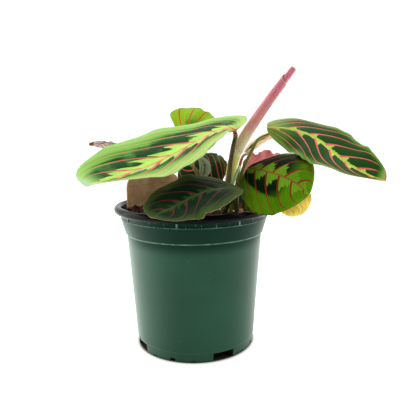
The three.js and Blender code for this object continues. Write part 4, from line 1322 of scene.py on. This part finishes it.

# %% [markdown]
# ## The card tag
#
# A kraft card stands behind the leaves, its spike in the soil. Its face has a few faint ruled lines
# for notes. The solid already has the right shape, so it only gets paint: long fibres, soft blotches
# and a foot painted darker, as painted shade.

# %% Tag paint
RULES_PER_METRE, RULES_END, PAINTED_SHADE_FOOT = 170.0, (0.1135, 0.1125), (0.0975, 0.0925)
paint = Paint("kraft_card", 0.8, Specular_IOR_Level=0.25)
place = paint.place()
x, y, z = paint.parts(place)
stretched = paint.vector(paint.times(x, 500.0), paint.times(y, 500.0), paint.times(z, 1600.0))
fibre = paint.noise(stretched, 1.0, 3.0)
blotch = paint.noise(place, 110.0, 3.0)
colour = paint.mix(paint.ramp(blotch, 0.3, 0.7), (176, 146, 106), (206, 176, 132))
colour = paint.mix(paint.ramp(fibre, 0.6, 0.72, 0.0, 0.5), colour, (120, 94, 64))
colour = paint.mix(paint.ramp(fibre, 0.36, 0.26, 0.0, 0.5), colour, (206, 180, 140))
rule = paint.calc("FRACT", paint.calc("MULTIPLY_ADD", z, RULES_PER_METRE, 0.1))
lines = paint.times(paint.ramp(rule, 0.06, 0.04), paint.ramp(z, *RULES_END))
worn = paint.ramp(fibre, 0.35, 0.6, 0.0, 0.5)
colour = paint.mix(paint.times(lines, worn), colour, (46, 36, 26))
# painted shade: the card is darker towards its foot
colour = paint.mix(paint.ramp(z, *PAINTED_SHADE_FOOT, 0.0, 0.6), colour, (70, 52, 36))
paint.set("Base Color", colour)
paint.relief(fibre, 0.15, 0.4)
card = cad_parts["plant_tag"]
card.data.materials.clear()
card.data.materials.append(paint.material)
print("card painted")

# %% [markdown]
# ## Floor and light
#
# The photograph is a plain studio shot: a pale floor that runs out to white in front of a white
# backdrop, a darker room on the camera's side, and soft light from above. A large pale plane that
# glows, a world that is bright behind and dimmer in front, and three soft panels give the same. Right
# under the pot the floor's colour is painted dark, as a painted shadow where no light gets, and its
# glow stops there; far in front the glow is dimmer. The dim front is what keeps glossy dark things
# dark: the pot mirrors it.

# %% Floor
FLOOR_HALF = 3000
PAINTED_SHADOW_UNDER_POT, GLOW_FROM, GLOW_BACK = (0.0398, 0.0425), (0.0405, 0.0435), (-0.45, -0.12)
corners = np.array([[-1, -1, 0], [1, -1, 0], [1, 1, 0], [-1, 1, 0]]) * FLOOR_HALF
floor = put_mesh("floor", corners, [[0, 1, 2, 3]], smooth=False)
paint = Paint("pale_floor", 0.7, Specular_IOR_Level=0.1)
x, y = paint.parts(paint.place())[:2]
away = paint.calc("SQRT", paint.calc("ADD", paint.times(x, x), paint.times(y, y)))
# painted shadow: the floor's colour is dark under the pot and just round its foot
paint.set("Base Color", paint.mix(paint.ramp(away, *PAINTED_SHADOW_UNDER_POT), (0.04, 0.035, 0.03, 1), (0.9, 0.9, 0.885, 1)))
paint.set("Emission Color", (1, 1, 0.985, 1))
# the glow starts just outside the foot, which adds to the painted shadow there, and is dimmer far in front
glow = paint.times(paint.ramp(away, *GLOW_FROM, 0.0, 0.6), paint.ramp(y, *GLOW_BACK, 0.1, 1.0))
paint.set("Emission Strength", glow)
floor.data.materials.append(paint.material)
print("floor:", 2 * FLOOR_HALF * MM, "m across")

# %% World
# the way to the backdrop, how far a direction points that way where the light starts and stops
# growing, and its strengths in front and behind
TO_BACKDROP, GROWS, STRENGTHS = (0, 0.85, 0.2), (-0.75, 0.7), (0.22, 1.08)
world = bpy.data.worlds.new("studio")
bpy.context.scene.world = world
world.use_nodes = True
background = world.node_tree.nodes["Background"]
background.inputs["Color"].default_value = (1, 1, 1, 1)
direction = world.node_tree.nodes.new("ShaderNodeTexCoord").outputs["Generated"]
backdrop = world.node_tree.nodes.new("ShaderNodeVectorMath")
backdrop.operation = "DOT_PRODUCT"
backdrop.inputs[1].default_value = TO_BACKDROP
bright = world.node_tree.nodes.new("ShaderNodeMapRange")
bright.interpolation_type = "SMOOTHSTEP"
for socket, value in zip(bright.inputs[1:5], (*GROWS, *STRENGTHS)):
    socket.default_value = value
world.node_tree.links.new(direction, backdrop.inputs[0])
world.node_tree.links.new(backdrop.outputs["Value"], bright.inputs[0])
world.node_tree.links.new(bright.outputs[0], background.inputs["Strength"])
bpy.context.scene.view_settings.view_transform = "Standard"
print("world strengths in front and behind:", STRENGTHS)

# %% Lights
def panel(name, place, target, size, power):
    """A square soft light at a place, turned to face a target, both in millimetres."""
    light = bpy.data.lights.new(name, "AREA")
    light.shape = "SQUARE"
    light.size = size * MM
    light.energy = power
    lamp = bpy.data.objects.new(name, light)
    bpy.context.scene.collection.objects.link(lamp)
    back = unit(np.array(place, float) - np.array(target, float))
    right = unit(np.cross([0, 0.01, 1.0], back))
    lamp.matrix_world = standing(right, np.cross(back, right), back, place)


panel("top_panel", [-50, 250, 700], [0, 0, 120], 700, 1.9)
panel("left_panel", [-650, 30, 320], [0, 0, 90], 600, 2.2)
panel("right_panel", [650, 30, 300], [0, 0, 90], 600, 2.0)
